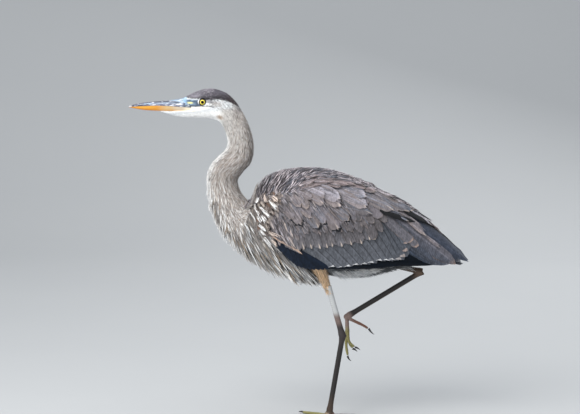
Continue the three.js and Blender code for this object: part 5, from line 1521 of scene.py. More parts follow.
    # median coverts, steep, each with a buff streak at its tip and a dark root: their own dark bases, with painted
    # shade under the scapulars' edge
    heads, ends = MEDIAN
    for k_, (a, b) in enumerate(zip(heads, ends)):
        for part, (dx, dz, drop) in enumerate(((8.5, -1.0, 1.1), (0, 0, 0.0))):
            a2, b2 = (a[0] + dx, a[1] + dz), (b[0] + dx * 1.05, b[1] + dz + (4 if part == 0 else 0))
            col = mix(C["median"], C["lesser"], 0.35 + 0.4 * rng.random()) * (0.9 + 0.18 * rng.random())
            F.append({"from": a2, "to": b2, "w": 18 * (0.95 + 0.1 * rng.random()), "col": col, "rim": C["median_rim"], "rs": 1.2 + 0.1 * rng.random() if part == 0 else 2.0, "h0": -4.6, "h1": -1.2 - drop, "bend": 0.04,
                      "shape": "square", "tone": 0.60, "root": 0.42, "notch": 0.03, "wave": 0.3, "camber": 0.05, "tilt": 0.07 if part else 0.0})
    for a, b, w, h in LARGER:
        col = mix(C["scap_brown"], C["tertial"], 0.35 + 0.2 * rng.random())
        F.append({"from": a, "to": b, "w": w, "col": col, "rim": C["median_rim"], "rs": 0.55, "h0": -3.4, "h1": h, "bend": 0.05, "shape": "leaf", "tone": 0.5, "root": 0.6, "ragged": 0.1, "wave": 0.4, "camber": 0.2})
    lay(P, SHELL, rng, F, side=side, uvbox=(-336, 196, -10, 320))
    return P.build(mats["quill"])


def wing_scapulars(mats, side, name):
    """The loose feathers of the shoulder that lie over the folded wing, with near-black blades as painted shadow in the
    gaps between them and under the lowest ones.
    """
    P = Piece(name)
    rng = np.random.default_rng(76 + side)
    F = []
    # a lower layer, so that the ones over it can stand off
    rows = [
        ([(92, 500), (66, 496), (40, 492), (14, 490), (-14, 488), (-44, 486)], [(58, 462), (30, 456), (4, 452), (-28, 452), (-56, 458), (-84, 466)], 25, -0.6),
        ([(92, 520), (62, 518), (32, 518), (2, 516), (-30, 512), (-60, 506), (-88, 500)], [(46, 484), (14, 480), (-20, 478), (-52, 476), (-84, 476), (-112, 474), (-142, 470)], 25, 0.2),
        ([(76, 540), (44, 544), (10, 546), (-24, 546), (-58, 540), (-92, 532), (-122, 522)], [(28, 512), (-8, 510), (-44, 506), (-78, 502), (-112, 498), (-146, 488), (-180, 482)], 24, 0.6),
    ]
    for r, (heads, ends, w, h) in enumerate(rows):
        for a, b in zip(heads, ends):
            c = mix(C["scap"], C["scap_slate"], 0.6 * rng.random()) * 0.86
            F.append({"from": a, "to": b, "w": w, "col": c, "rim": C["lesser_rim"], "rs": 0.2, "h0": -3.4, "h1": h, "bend": 0.06, "shape": "broad", "tone": 0.45, "root": 0.7, "notch": 0.05, "wave": 0.4})
    # near-black blades over the gaps between the scapulars and the tertials: painted shadow
    for a, b, w, h in SHADOW_GAPS[:1 if side < 0 else 4]:
        F.append({"from": a, "to": b, "w": w, "col": C["hollow"] * (5.0 if a[1] > 520 else 1.8), "rim": C["hollow"], "rs": 0.0, "h0": h - 1.2, "h1": h, "bend": -0.05, "shape": "blade", "tone": 0.5, "root": 1.0, "end": 1.0})
    # the scapulars themselves: broad, loose and worn, with separate strands over each
    for a, b, w, up, low, h, light in SCAPULARS[:7]:  # painted shadow under the lowest ones: a near-black blade a little longer than each
        ax, az = (b[0] - a[0]) / math.hypot(a[0] - b[0], a[1] - b[1]), (b[1] - a[1]) / math.hypot(a[0] - b[0], a[1] - b[1])
        F.append({"from": a, "to": (b[0] + ax * 4.5 + 0.5, b[1] + az * 4.5 - 1.5), "w": w + 4, "col": C["hollow"] * 5, "rim": C["hollow"], "rs": 0.0, "h0": -3.2, "h1": 0.2, "bend": 0.04, "shape": "broad", "tone": 0.5, "root": 1.0, "end": 1.0,
                  "notch": 0.06, "camber": 0.1})
    for a, b, w, up, low, h, light in SCAPULARS + BRAID:
        h = h * 1.3 + 0.5
        c, c2 = C[up] * (0.94 + 0.12 * rng.random()), C[low] * (0.94 + 0.12 * rng.random())
        long = math.hypot(a[0] - b[0], a[1] - b[1])
        F.append({"from": a, "to": b, "w": w, "col": c, "low": c2, "rim": C["scap_tip"], "rs": light, "h0": -3.0, "h1": h, "bend": 0.03 + 0.05 * rng.random(), "shape": "broad" if long < 88 and w > 15 else "blade",
                  "tone": 0.58, "root": 0.62, "notch": 0.09, "wave": 0.9, "camber": 0.15, "tilt": 0.04})
        ax, az = b[0] - a[0], b[1] - a[1]
        count = 16 if w > 15 else 6
        for strand in range(count):
            o = (strand - (count - 1) / 2) * 0.84 / count + 0.06 * (rng.random() - 0.5)
            st = 0.12 + 0.42 * rng.random()
            px, pz = -az / long * o * w, ax / long * o * w
            en = min(0.97 - 0.3 * abs(o), st + 0.3 + 0.3 * rng.random())
            tint = mix(c if o > 0 else c2, C[("scap_buff", "scap_slate", "scap_light", "mantle_dark")[int(4 * rng.random())]], 0.3 + 0.3 * rng.random())
            F.append({"from": (a[0] + ax * st + px, a[1] + az * st + pz), "to": (a[0] + ax * en + px * 0.8, a[1] + az * en + pz * 0.8), "w": 1.0 + 1.1 * rng.random(),
                      "col": tint, "rim": tint, "rs": 0.1, "h0": -3.0 + (h + 3.0) * st + 0.1, "h1": -3.0 + (h + 3.0) * en + 0.5, "bend": 0.08 * (rng.random() - 0.5), "shape": "lance", "tone": 0.5,
                      "root": 0.9, "fine": True})
    lay(P, SHELL, rng, F, side=side, uvbox=(-336, 196, -10, 320))
    return P.build(mats["scap"])


MARGINAL = [  # the feathers of the shoulder's edge: root, tip, width, colour
    ((126, 516), (117, 496), 4.8, "buff_white"), ((107, 515), (92, 500), 6.4, "buff_white"), ((116, 505), (96, 486), 5.6, "marginal_white"),
    ((137, 510), (144, 492), 3.0, "marginal_white"), ((147, 494), (143, 478), 3.4, "marginal_white"), ((138, 490), (120, 474), 4.4, "marginal_white"),
    ((127, 482), (113, 466), 3.8, "marginal_white"), ((143, 467), (126, 454), 5.6, "marginal_white"), ((132, 472), (119, 454), 4.4, "marginal_white"),
    ((138, 449), (118, 431), 5.2, "marginal_white"), ((137, 437), (119, 423), 4.2, "marginal_white"), ((118, 435), (88, 419.5), 2.6, "buff_white"),
    ((128, 420), (106, 398), 6.4, "marginal_white"), ((110, 416), (95, 399.5), 3.4, "buff_white"), ((146, 483), (134, 466), 3.4, "marginal_white"),
    ((107, 523), (100, 514), 4.4, "rufous"), ((122, 500), (110, 488), 5.0, "rufous"), ((134, 502), (122, 486), 5.5, "marginal"), ((126, 512), (114, 500), 5.0, "marginal_dark"),
    ((140, 480), (130, 466), 4.0, "marginal_dark"), ((136, 463), (126, 449), 4.6, "marginal_dark"), ((145, 463), (136, 452), 4.0, "rufous"), ((127, 452), (115, 438), 4.4, "marginal"),
    ((142, 444), (132, 434), 4.0, "rufous"), ((128, 434), (112, 421), 4.0, "marginal_dark"), ((124, 463), (114, 450), 4.4, "marginal"), ((116, 492), (106, 480), 5.0, "marginal_dark"),
    ((133, 424), (120, 410), 4.0, "marginal"), ((141, 500), (136, 486), 4.0, "marginal"),
]


def wing_small(mats, side, name):
    """Marginal and lesser coverts over the front and middle of one wing."""
    P = Piece(name)
    rng = np.random.default_rng(81 + side)
    box = (-262, 196, -10, 320)
    zx = [-150, -120, -104, -90, -60, -35, 0, 50, 100, 150]
    z_low = [398, 404, 420, 428, 436, 446, 452, 456, 468, 482]
    z_top = [512, 522, 528, 528, 528, 528, 526, 522, 520, 510]

    def q_at(x, table):
        return float(q_of(np.array([x]), np.array([np.interp(-x, zx, table)]))[0])

    a, b = rows_on(SHELL, rng, 148, -104, lambda x: q_at(x, z_top), lambda x: q_at(x, z_low), 6.5, 4.6, 0.9)
    n = len(a)
    p = SHELL.point(a, b, 0.0)
    x, z = p[:, 0], p[:, 2]
    border = np.interp(z, [400, 422, 450, 469, 486, 507], [104, 106, 118, 114, 97, 93])
    strip = step(x, border - 4, border + 4)
    k = rng.random(n)
    col = mix(C["lesser"], C["scap"], 0.7 * rng.random(n))
    col = np.where((k < 0.14)[:, None], mix(col, C["scap_slate"], 0.6), col)
    col = np.where((k > 0.86)[:, None], mix(col, C["scap_buff"], 0.5), col)
    patch = 0.5 + 0.5 * np.sin(x * 0.11 + 1.0) * np.sin(z * 0.14)
    col = col * (0.92 + 0.14 * patch[:, None])
    col = np.where((strip > 0.5)[:, None], np.where((k < 0.5)[:, None], C["marginal_dark"], mix(C["marginal"], C["lesser"], 0.6)), col)
    rim = np.where((strip > 0.5)[:, None], C["marginal"], C["lesser_rim"])
    rs = np.where(strip > 0.5, 0.35, 0.05 + 0.15 * rng.random(n))
    col = np.where(((k > 0.30) & (k < 0.40))[:, None], col * 0.62, col)
    col = vary(rng, col, 0.18)
    size = np.interp(b, [60, 200], [24, 26]) * (0.75 + 0.5 * rng.random(n)) - 8 * strip
    wide = (6.2 - 1.2 * strip) * (0.7 + 0.5 * rng.random(n))
    slope = np.interp(z, [400, 450, 500], [1.10, 1.12, 0.85]) - 0.15 * step(-x, -40, 100)
    turn = slope + 0.22 * (rng.random(n) - 0.5)
    blades(P, SHELL, rng, a, b, turn, size, wide, (col * 0.8, np.clip(col * 1.04, 0, 1)), rims(rim, rs), root_h=-3.8 - 0.6 * rng.random(n), tip_h=-1.2 + 0.5 * rng.random(n),
           ragged=0.25, nu=3, nv=5, shape="leaf", camber=0.12, sign=-1.0, side=side, uvbox=box, bend=(rng.random(n) - 0.5) * 0.16, tone=0.5, notch=0.06)
    # long loose strands over them, and pale streaks towards the wing's lower edge
    m = 640
    a = 138 - 210 * rng.random(m) ** 0.9
    zz = np.interp(-a, zx, z_low) + (np.interp(-a, zx, z_top) - np.interp(-a, zx, z_low)) * rng.random(m)
    b = q_of(a, zz)
    keep = a < np.interp(zz, [400, 422, 450, 469, 486, 507], [104, 106, 116, 112, 95, 91])
    a, b, zz = a[keep], b[keep], zz[keep]
    m = len(a)
    pale = pick(rng, m, 0.2)
    col = np.where(pale[:, None], mix(C["scap_tip"], C["scap_light"], 0.5 + 0.5 * rng.random(m)), np.where(pick(rng, m, 0.4)[:, None], C["mantle_dark"], mix(C["lesser"], C["scap_slate"], rng.random(m))))
    col = mix(col, C["lesser"], 0.3)
    blades(P, SHELL, rng, a, b, np.interp(zz, [400, 450, 500], [1.10, 1.12, 0.85]) + 0.3 * (rng.random(m) - 0.5), 12 + 12 * rng.random(m), 1.3 + 1.3 * rng.random(m), (col * 0.8, np.clip(col * 1.05, 0, 1)),
           rims(col, 0.1 * np.ones(m)), root_h=-1.4 * np.ones(m), tip_h=-0.3 + 0.5 * rng.random(m), nu=1, nv=4, shape="lance", camber=0.0, sign=-1.0, side=side, uvbox=box, bend=(rng.random(m) - 0.5) * 0.2, tone=0.5)
    for (x0, z0), (x1, z1) in (((92, 440), (80, 421)), ((82, 461), (73, 434)), ((67, 439), (59, 419)), ((72, 424), (53, 395)), ((88, 426), (69, 402)), ((101, 437), (87, 420)), ((112, 457), (99, 436)), ((79, 430), (67, 408))):
        q0, q1 = float(q_of(x0, z0)), float(q_of(x1, z1))
        cc = np.array([mix(C["scap_tip"], C["scap_light"], rng.random())])
        blades(P, SHELL, rng, np.array([float(x0)]), np.array([q0]), np.array([math.atan2(q1 - q0, x0 - x1)]), math.hypot(x0 - x1, q1 - q0), 3.2, (cc * 0.85, cc), rims(cc, 0.1 * np.ones(1)),
               root_h=np.array([-1.4]), tip_h=np.array([0.2]), nu=2, nv=6, shape="lance", camber=0.1, sign=-1.0, side=side, uvbox=box, tone=0.5)
    # the pale and rufous feathers of the wing's front edge
    colours = dict(C, buff_white=mix(C["marginal_white"], lin(220, 186, 160), 0.6))
    F = []
    for a, b, w, c in sorted(MARGINAL, key=lambda m: "white" in m[3]):
        dark = "white" not in c
        dx, dz = b[0] - a[0], b[1] - a[1]
        long = math.hypot(dx, dz)
        for part in range(2 if dark else 9):  # a core, and worn strands beside and over it, some of them dark
            core = part == 0
            off = 0.0 if core else w * 1.5 * (rng.random() - 0.5) / long
            start, end = (0.06, 0.9) if core else (0.35 * rng.random(), 0.6 + 0.55 * rng.random())
            lean = 0.0 if core else 0.22 * (rng.random() - 0.5)
            cc = colours[c] * (0.95 if core else 1.0 - 0.25 * rng.random())
            if not dark and part % 3 == 1:
                cc = mix(C["marginal"], C["marginal_dark"], rng.random()) * 0.9
            F.append({"from": (a[0] + dx * start - dz * off, a[1] + dz * start + dx * off), "to": (a[0] + dx * end - dz * (off + lean), a[1] + dz * end + dx * (off + lean)), "w": w * 0.74 if core else 1.2 + 0.9 * rng.random(), "col": cc,
                      "rim": cc * (1.0 if dark else 0.85), "rs": 0.2, "h0": -1.4 + 0.2 * part, "h1": (0.6 if dark else 1.3) + 0.15 * part, "bend": 0.12 * (rng.random() - 0.5), "shape": "leaf" if part == 0 else "lance", "tone": 0.5, "ragged": 0.15,
                      "notch": 0.12, "camber": 0.2, "root": 0.7 if dark else 0.9, "end": 1.02})
    lay(P, SHELL, rng, F, side=side, uvbox=box, nv=8, nu=4)
    return P.build(mats["covert"])


def coat_thighs(mats):
    P = Piece("coat_thighs")
    for which, L in LEGS.items():
        rng = np.random.default_rng(91 + L["side"])
        t, f, g = thigh_grid(which, 0.0)
        S = Surface(t, f, g, True)
        mid = S.p[30].mean(0)
        if ((S.p[30, 24] - mid) * S.n[30, 24]).sum() < 0:
            S.n *= -1
        a, b = rows_on(S, rng, 2, t[-1] * 0.90, -PI, PI, lambda a: np.interp(a, [0, t[-1]], [6.0, 3.0]), lambda a: np.interp(a, [0, t[-1]], [4.4, 2.2]), 0.9)
        n = len(a)
        share = a / t[-1]
        col = mix(C["thigh"], C["thigh_pale"], 0.5 * rng.random(n))
        col = mix(col, C["belly"], (1 - step(share, 0.1, 0.45)) * 0.55)
        if which == "right":
            col = mix(col, C["belly_white"] * 0.8, 0.75 * step(share, 0.25, 0.5) * (rng.random(n) < 0.75))
        col = np.where(pick(rng, n, 0.12)[:, None], col * 0.6, col)
        col = vary(rng, col, 0.14)
        size = np.interp(share, [0, 0.5, 1], [18, 13, 7]) * (0.8 + 0.4 * rng.random(n))
        box = (0, t[-1], -PI, 3 * PI) if which == "left" else (0, t[-1], -3 * PI, PI)
        inside = S.point(a, b, 0.0)
        blades(P, S, rng, a, b, 0.2 * (rng.random(n) - 0.5), np.minimum(size, t[-1] * 0.97 + 2 - a), np.interp(share, [0, 1], [3.4, 1.9]) * (0.8 + 0.4 * rng.random(n)), (col * 0.75, np.clip(col * 1.1, 0, 1)),
               rims(np.clip(col * 1.25, 0, 1), 0.4 * np.ones(n)), root_h=-3.4 * np.ones(n), tip_h=-0.6 + 1.4 * rng.random(n), nu=2, nv=3, shape="lance", camber=0.25, side=1, uvbox=box, bend=(rng.random(n) - 0.5) * 0.2)
    return P.build(mats["fine"])


def coat_tail(mats):
    """Twelve tail quills in a closed fan, with the coverts above and below their roots."""
    P = Piece("coat_tail")
    rng = np.random.default_rng(101)
    root, tip = np.array([-206.0, 0, 388.0]), np.array([-326.0, 0, 346.5])
    xs = np.linspace(-196, -334, 60)
    ys = np.linspace(-30, 30, 31)
    X, Y = np.meshgrid(xs, ys, indexing="ij")
    Z = np.interp(-X, [206, 326], [388, 346.5]) - 0.006 * Y * Y + 4.0 * np.sin(np.clip((-X - 206) / 120, 0, 1) * PI)
    S = Surface(xs, ys, np.stack([X, Y, Z], -1), False)
    if S.n[30, 15][2] < 0:
        S.n *= -1
    n = 12
    rank = np.linspace(-1, 1, n)
    order = np.argsort(-np.abs(rank))
    for j, i in enumerate(order):
        y = rank[i]
        c = vary(rng, np.array([C["tail"]]), 0.08)
        blades(P, S, rng, np.array([-208.0]), np.array([y * 5.0]), np.array([y * 0.075]), 117 - 6 * abs(y), 15.5, (c * 0.8, c * 1.05), rgba(np.array([C["greater_rim"]]), np.array([0.35])),
               root_h=np.array([-2.6 + 0.3 * j]), tip_h=np.array([-1.6 + 0.28 * j]), nu=6, nv=16, shape="quill", camber=0.08, sign=-1.0, side=1, uvbox=(-262, -200, -200, 20))
    m = 46
    a = -212 - 44 * rng.random(m)
    b = (rng.random(m) - 0.5) * 24
    col = vary(rng, np.broadcast_to(mix(C["tail"], C["mantle"], 0.4), (m, 3)), 0.15)
    for s in TWO:
        blades(P, S, rng, a, b, b * 0.01, 42 * (0.8 + 0.4 * rng.random(m)), 10.0, (col * 0.75, col * 1.1), rims(np.clip(col * 1.5, 0, 1), 0.4 * np.ones(m)),
               root_h=(2.0 if s > 0 else -4.0) * np.ones(m), tip_h=(3.6 if s > 0 else -6.0) + rng.random(m), nu=2, nv=5, shape="leaf", camber=0.15, sign=-1.0, side=1,
               uvbox=(-262, -200, -200, 20))
    return P.build(mats["quill"])


# ------------------------------------------------------------------ bill, eyes, lids, claws
CULMEN = ([0, .1, .17, .27, .40, .53, .66, .80, .92, 1], [727, 727, 725.6, 722.6, 720.0, 718.4, 716.8, 714.4, 710.8, 706.5])
GAPE = ([0, .1, .25, .4, .6, 1], [705.2, 706.2, 707.4, 708.8, 709.4, 705.9])
GONYS = ([0, .3, .72, .9, 1], [696, 696.3, 698.2, 702.2, 705.4])


def bill_half_piece(which, mat):
    P = Piece("bill_" + which)
    u = np.concatenate([np.linspace(0, 0.9, 130), np.linspace(0.9, 0.997, 40)[1:]])
    v = np.linspace(0, 1, 61)
    U, V = np.meshgrid(u, v, indexing="ij")
    x = 283 + 147 * U
    half = (11.4 * (1 - U) ** 0.86 + 0.55)
    flat = cubic(*GAPE, U)
    ridge = cubic(*(CULMEN if which == "upper" else GONYS), U)
    ang = (V * 2 - 1) * (PI / 2 + 0.02)
    rise = np.clip(np.cos(ang), 0, 1)
    gap = 0.22 if which == "upper" else -0.22
    y = np.sin(ang) * half * (1 - 0.25 * rise)
    z = flat + gap + (ridge - flat - gap) * rise**0.9
    # a shallow groove with the nostril, and the rolled cutting edge
    if which == "upper":
        groove_z = flat + (ridge - flat) * 0.55
        g = np.exp(-((z - groove_z) / 1.3) ** 2) * step(-U, -0.62, -0.2)
        slit = np.exp(-((z - groove_z + 0.2) / 0.55) ** 2) * step(x, 312, 315) * step(-x, -329, -325)
        y = y - np.sign(y) * (0.55 * g + 1.3 * slit)
    lip = np.exp(-(rise / 0.16) ** 2)
    y = y + np.sign(np.sin(ang)) * 0.22 * lip * (1 - U)
    pts = np.stack([x, y, z], -1)
    # inner face, set in from the edge and coloured dark, so the parting is a fine dark line: painted shade
    inner_v = np.linspace(1, -1, 13)
    IU, IV = np.meshgrid(u, inner_v, indexing="ij")
    ih = (11.4 * (1 - IU) ** 0.86 + 0.55)
    iz = cubic(*GAPE, IU) + gap
    inner = np.stack([283 + 147 * IU, ih * IV * 0.995, iz + 0 * IV], -1)
    n1, n2 = len(v), len(inner_v)
    if which == "upper":
        h = (z - flat) / np.maximum(ridge - flat, 0.5)
        col = mix(C["bill_side"], C["bill_dark"], step(h, 0.62, 0.88)) * 0.93
        col = mix(col, C["bill_dark"] * 1.15, np.exp(-((h - 0.34) / 0.13) ** 2) * step(U, 0.12, 0.3) * 0.75)
        col = mix(col, C["bill_dark"] * 0.9, step(U, 0.62, 0.94) * 0.8)
        # a pale band along the upper bill's side near its base: painted highlight
        col = mix(col, C["bill_pale_and_highlight"], 0.7 * np.exp(-((h - 0.60) / 0.12) ** 2) * step(-U, -0.5, -0.16))
        col = mix(col, C["bill_brown"], (1 - step(h, 0.04, 0.15)) * 0.8)
        fleck = 0.5 + 0.5 * np.sin(x * 1.1 + 2.0 * np.sin(z * 0.9)) * np.sin(z * 1.3 + 1.4 * np.sin(x * 0.5))
        # pale patches at the base and along the side: painted highlight, mottled with the horn's pale flecks
        patch = np.maximum(blob(pts, 310, 720, 8, 6.0, 0.5) * (0.45 + 0.4 * fleck), 0.8 * blob(pts, 324, 721.0, 14, 1.6, 0.5))
        patch = np.maximum(patch, 0.9 * np.exp(-((h - 0.55) / 0.2) ** 2 - ((x - 386) / 9) ** 2))
        patch = np.maximum(patch, 0.75 * np.exp(-((h - 0.6) / 0.13) ** 2 - ((x - 352) / 18) ** 4) * (0.4 + 0.6 * fleck))
        col = mix(col, C["bill_pale_and_highlight"], patch)
        col = mix(col, C["lore"], (1 - step(x, 296, 308)) * 0.7)
        col = mix(col, lore_colour(pts), 1 - step(x, 298, 304))
        col = mix(col, C["lore_dark"] * 0.7, (1 - step(z, 709.8, 711.6)) * (1 - step(x, 304, 318)) * 0.85)
        for sx, sz, rx in ((318, 716.6, 9), (334, 715.4, 8), (344, 717.2, 5), (304, 721.5, 5), (356, 716.0, 8), (372, 715.4, 7)):  # dark scratches near the base
            col = mix(col, C["line"], 0.9 * blob(pts, sx, sz, rx, 0.75, 0.6) * (0.4 + 0.6 * fleck))
        col = mix(col, C["cream"] * 0.95, 0.7 * blob(pts, 316, 712.2, 8, 1.3, 0.6))
        # the nostril slit near-black: painted shade in its opening
        col = mix(col, C["line"], slit * 0.95)
        col = mix(col, C["bill_dark"] * 0.5, step(U, 0.88, 0.95))
        # darker along the groove: painted shade
        col = mix(col, C["bill_dark"] * 0.8, 0.35 * g * (1 - patch))
    else:
        h = (flat - z) / np.maximum(flat - ridge, 0.5)
        col = mandible_colour(x)
        # a brighter band along the lower bill's upper side: its brighter orange, with painted highlight
        col = mix(col, C["orange_glow"], 0.75 * np.exp(-((h - 0.30) / 0.22) ** 2) * step(U, 0.5, 0.7) * step(-U, -0.97, -0.8))
        col = mix(col, C["orange_deep"], 0.7 * step(h, 0.6, 1.0) * step(U, 0.45, 0.75))
        col = mix(col, C["orange"] * 0.95, step(h, 0.55, 0.95) * step(-U, -0.62, -0.3) * 0.8)
        col = mix(col, C["bill_brown"] * 1.4, (1 - step(h, 0.02, 0.12)) * 0.4)
        fine = np.exp(-((h - 0.45 - 0.2 * U) / 0.05) ** 2) * step(-U, -0.45, -0.1)
        col = mix(col, C["bill_brown"] * 1.6, 0.35 * fine)
        col = mix(col, C["orange"] * 0.8, step(U, 0.9, 1.0) * 0.5)
    f1 = grid_faces(len(u), n1)
    f2 = grid_faces(len(u), n2)
    if which == "upper":
        f1 = f1[:, ::-1]
    else:
        f2 = f2[:, ::-1]
    uv = np.stack([0.01 + 0.98 * U, 0.02 + 0.66 * V], -1)
    uv2 = np.stack([0.01 + 0.98 * IU, 0.72 + 0.12 * (IV + 1)], -1)
    k = pts.size // 3
    P.add(pts.reshape(-1, 3), f1, rgba(col).reshape(-1, 4), np.zeros((k, 4)), np.zeros((k, 2)), uv.reshape(-1, 2))
    k = inner.size // 3
    # the inner face near-black: painted shade in the parting
    P.add(inner.reshape(-1, 3), f2, rgba(np.broadcast_to(C["bill_brown"] * 0.5, (k, 3))), np.zeros((k, 4)), np.zeros((k, 2)), uv2.reshape(-1, 2))
    return P.build(mat)


def horn_material(name, streak=0.25, rough=0.36, mottle=0.0):
    k = Net(name)
    tint, _, _ = k.attribute("tint")
    long_noise = k.noise(60.0, 6.0, 0.7, stretch=(0.35, 2.5, 2.5))
    fine = k.noise(420.0, 5.0, 0.7, stretch=(0.3, 1.5, 1.5))
    shade = k.math("ADD", k.math("MULTIPLY", long_noise, streak * 1.6), k.math("MULTIPLY_ADD", fine, streak * 0.8, 1.0 - streak * 1.15))
    comb = k.node("ShaderNodeCombineColor")
    for i in range(3):
        k.put(shade, comb.inputs[i])
    col = k.mixc(1.0, tint, comb.outputs[0], "MULTIPLY")
    if mottle:
        mott = k.ramp(k.noise(170.0, 4.0, 0.7, stretch=(0.45, 1.7, 1.7)), 0.53, 0.62)
        col = k.mixc(k.math("MULTIPLY", mott, mottle), col, tuple(lin(226, 230, 236)))
        dark = k.ramp(k.noise(120.0, 4.0, 0.7, stretch=(0.4, 2.0, 2.0)), 0.53, 0.64)
        col = k.mixc(k.math("MULTIPLY", dark, mottle * 1.1), col, tuple(lin(58, 60, 76)))
    rr = k.math("MULTIPLY_ADD", fine, 0.25, rough - 0.1)
    k.set(Base_Color=col, Roughness=rr, Specular_IOR_Level=0.45)
    k.bump(k.math("ADD", k.math("MULTIPLY", long_noise, 0.7), k.math("MULTIPLY", fine, 0.5)), 0.3, 0.0003)
    return k.mat


def eye_piece(side, mat):
    P = Piece("eye_left" if side > 0 else "eye_right")
    lat = np.concatenate([np.linspace(0, 0.30, 12)[:-1], np.linspace(0.30, 0.95, 46)[:-1], np.linspace(0.95, PI, 26)])
    lon = np.linspace(0, 2 * PI, 65)
    A, B = np.meshgrid(lat, lon, indexing="ij")
    r = EYE_R * (1 + 0.035 * np.exp(-(A / 0.42) ** 2))
    p = np.stack([EYE[0] + r * np.sin(A) * np.cos(B), side * (EYE[1] + r * np.cos(A)), EYE[2] + r * np.sin(A) * np.sin(B)], -1)
    rad = EYE_R * np.sin(A) * (A < PI / 2) + 99 * (A >= PI / 2)
    rng = np.random.default_rng(5)
    fib = 0.9 + 0.2 * np.interp(B, np.linspace(0, 2 * PI, 65), np.concatenate([(r0 := rng.random(64)), r0[:1]]))
    col = mix(np.broadcast_to(lin(2, 2, 3), p.shape), C["iris"], step(rad, 3.62, 3.8)) * np.where((rad > 3.7) & (rad < 6.1), fib, 1.0)[..., None]
    col = mix(col, C["iris_edge"], step(rad, 4.5, 5.3) * 0.7)
    col = mix(col, lin(14, 8, 6), step(rad, 5.3, 5.7))
    f = grid_faces(len(lat), len(lon))
    if side > 0:
        f = f[:, ::-1]
    k = p.size // 3
    P.add(p.reshape(-1, 3), f, rgba(col).reshape(-1, 4), np.zeros((k, 4)), np.zeros((k, 2)), np.stack([0.5 + 0.49 * A / PI * np.cos(B), 0.5 + 0.49 * A / PI * np.sin(B)], -1).reshape(-1, 2))
    return P.build(mat)


def eye_material():
    k = Net("eye_mat")
    tint, _, _ = k.attribute("tint")
    fine = k.noise(900.0, 4.0, 0.6)
    comb = k.node("ShaderNodeCombineColor")
    s = k.math("MULTIPLY_ADD", fine, 0.3, 0.85)
    for i in range(3):
        k.put(s, comb.inputs[i])
    k.set(Base_Color=k.mixc(1.0, tint, comb.outputs[0], "MULTIPLY"), Roughness=0.35, Specular_IOR_Level=0.08, Coat_Weight=0.22, Coat_Roughness=0.02, Coat_IOR=1.34)
    return k.mat


def lids_piece(mat):
    P = Piece("lids")
    f = np.linspace(0, 2 * PI, 97)
    rows = np.array([5.85, 5.95, 6.1, 6.35, 6.8, 7.3, 7.8, 8.4, 9.1, 9.8, 10.6])
    for side in TWO:
        R, F = np.meshgrid(rows, f, indexing="ij")
        # the opening is a little longer than high, with a point at the front
        long = 1 + 0.05 * np.cos(F) ** 2 + 0.10 * np.exp(-(np.minimum(F, 2 * PI - F) / 0.22) ** 2) * np.exp(-((R - 5.85) / 1.6) ** 2)
        high = 0.965 - 0.03 * np.sin(F) * (np.sin(F) > 0)
        x = EYE[0] + R * long * np.cos(F)
        z = EYE[2] + R * high * np.sin(F)
        rr = np.hypot(x - EYE[0], z - EYE[2])
        ball = EYE[1] + np.sqrt(np.maximum(EYE_R**2 - rr**2, 0.0))
        head = 19.0 * np.sqrt(np.clip(1 - ((z - 713) / 31.5) ** 2, 0, 1)) * (1 - 0.006 * np.abs(x - 262)) - 1.2
        t = step(R, 7.5, 9.6)
        rolled = 0.15 + 0.6 * step(R, 5.85, 6.2) - 0.2 * step(R, 6.2, 6.6) + 0.3 * np.exp(-((R - 7.4) / 0.4) ** 2) - 0.25 * np.exp(-((R - 6.9) / 0.2) ** 2)
        on_ball = EYE[1] + np.sqrt(np.maximum(EYE_R**2 - np.minimum(rr, 8.2) ** 2, 0.0))
        y = mix(on_ball + rolled, head - 0.1 - 1.4 * step(R, 8.8, 10.6), t)
        y = np.where(R < 5.9, on_ball - 0.4, y)
        wr = 0.10 * np.sin(F * 46) * np.exp(-((R - 8.0) / 0.9) ** 2)
        p = np.stack([x, side * (y + wr), z], -1)
        col = mix(np.broadcast_to(C["lid"] * 0.16, p.shape), C["lid"] * 0.95, step(R, 7.5, 8.6))
        col = mix(col, C["chin"], 0.98 * step(R, 7.6, 8.1) * (1 - step(R, 9.7, 10.3)) * np.maximum(np.exp(-(np.minimum(np.abs(F - 0.12), 2 * PI - F + 0.12) / 0.68) ** 4), np.exp(-((F - 4.2) / 0.4) ** 2)))
        col = mix(col, C["lore_dark"], 0.5 * step(R, 9.2, 10.0))
        fc = grid_faces(len(rows), len(f))
        if side < 0:
            fc = fc[:, ::-1]
        k = p.size // 3
        P.add(p.reshape(-1, 3), fc, rgba(col).reshape(-1, 4), np.zeros((k, 4)), np.zeros((k, 2)),
              np.stack([0.01 + 0.98 * F / (2 * PI), 0.02 + 0.44 * (R - 5.8) / 5.0 + (0.5 if side < 0 else 0)], -1).reshape(-1, 2))
    return P.build(mat)


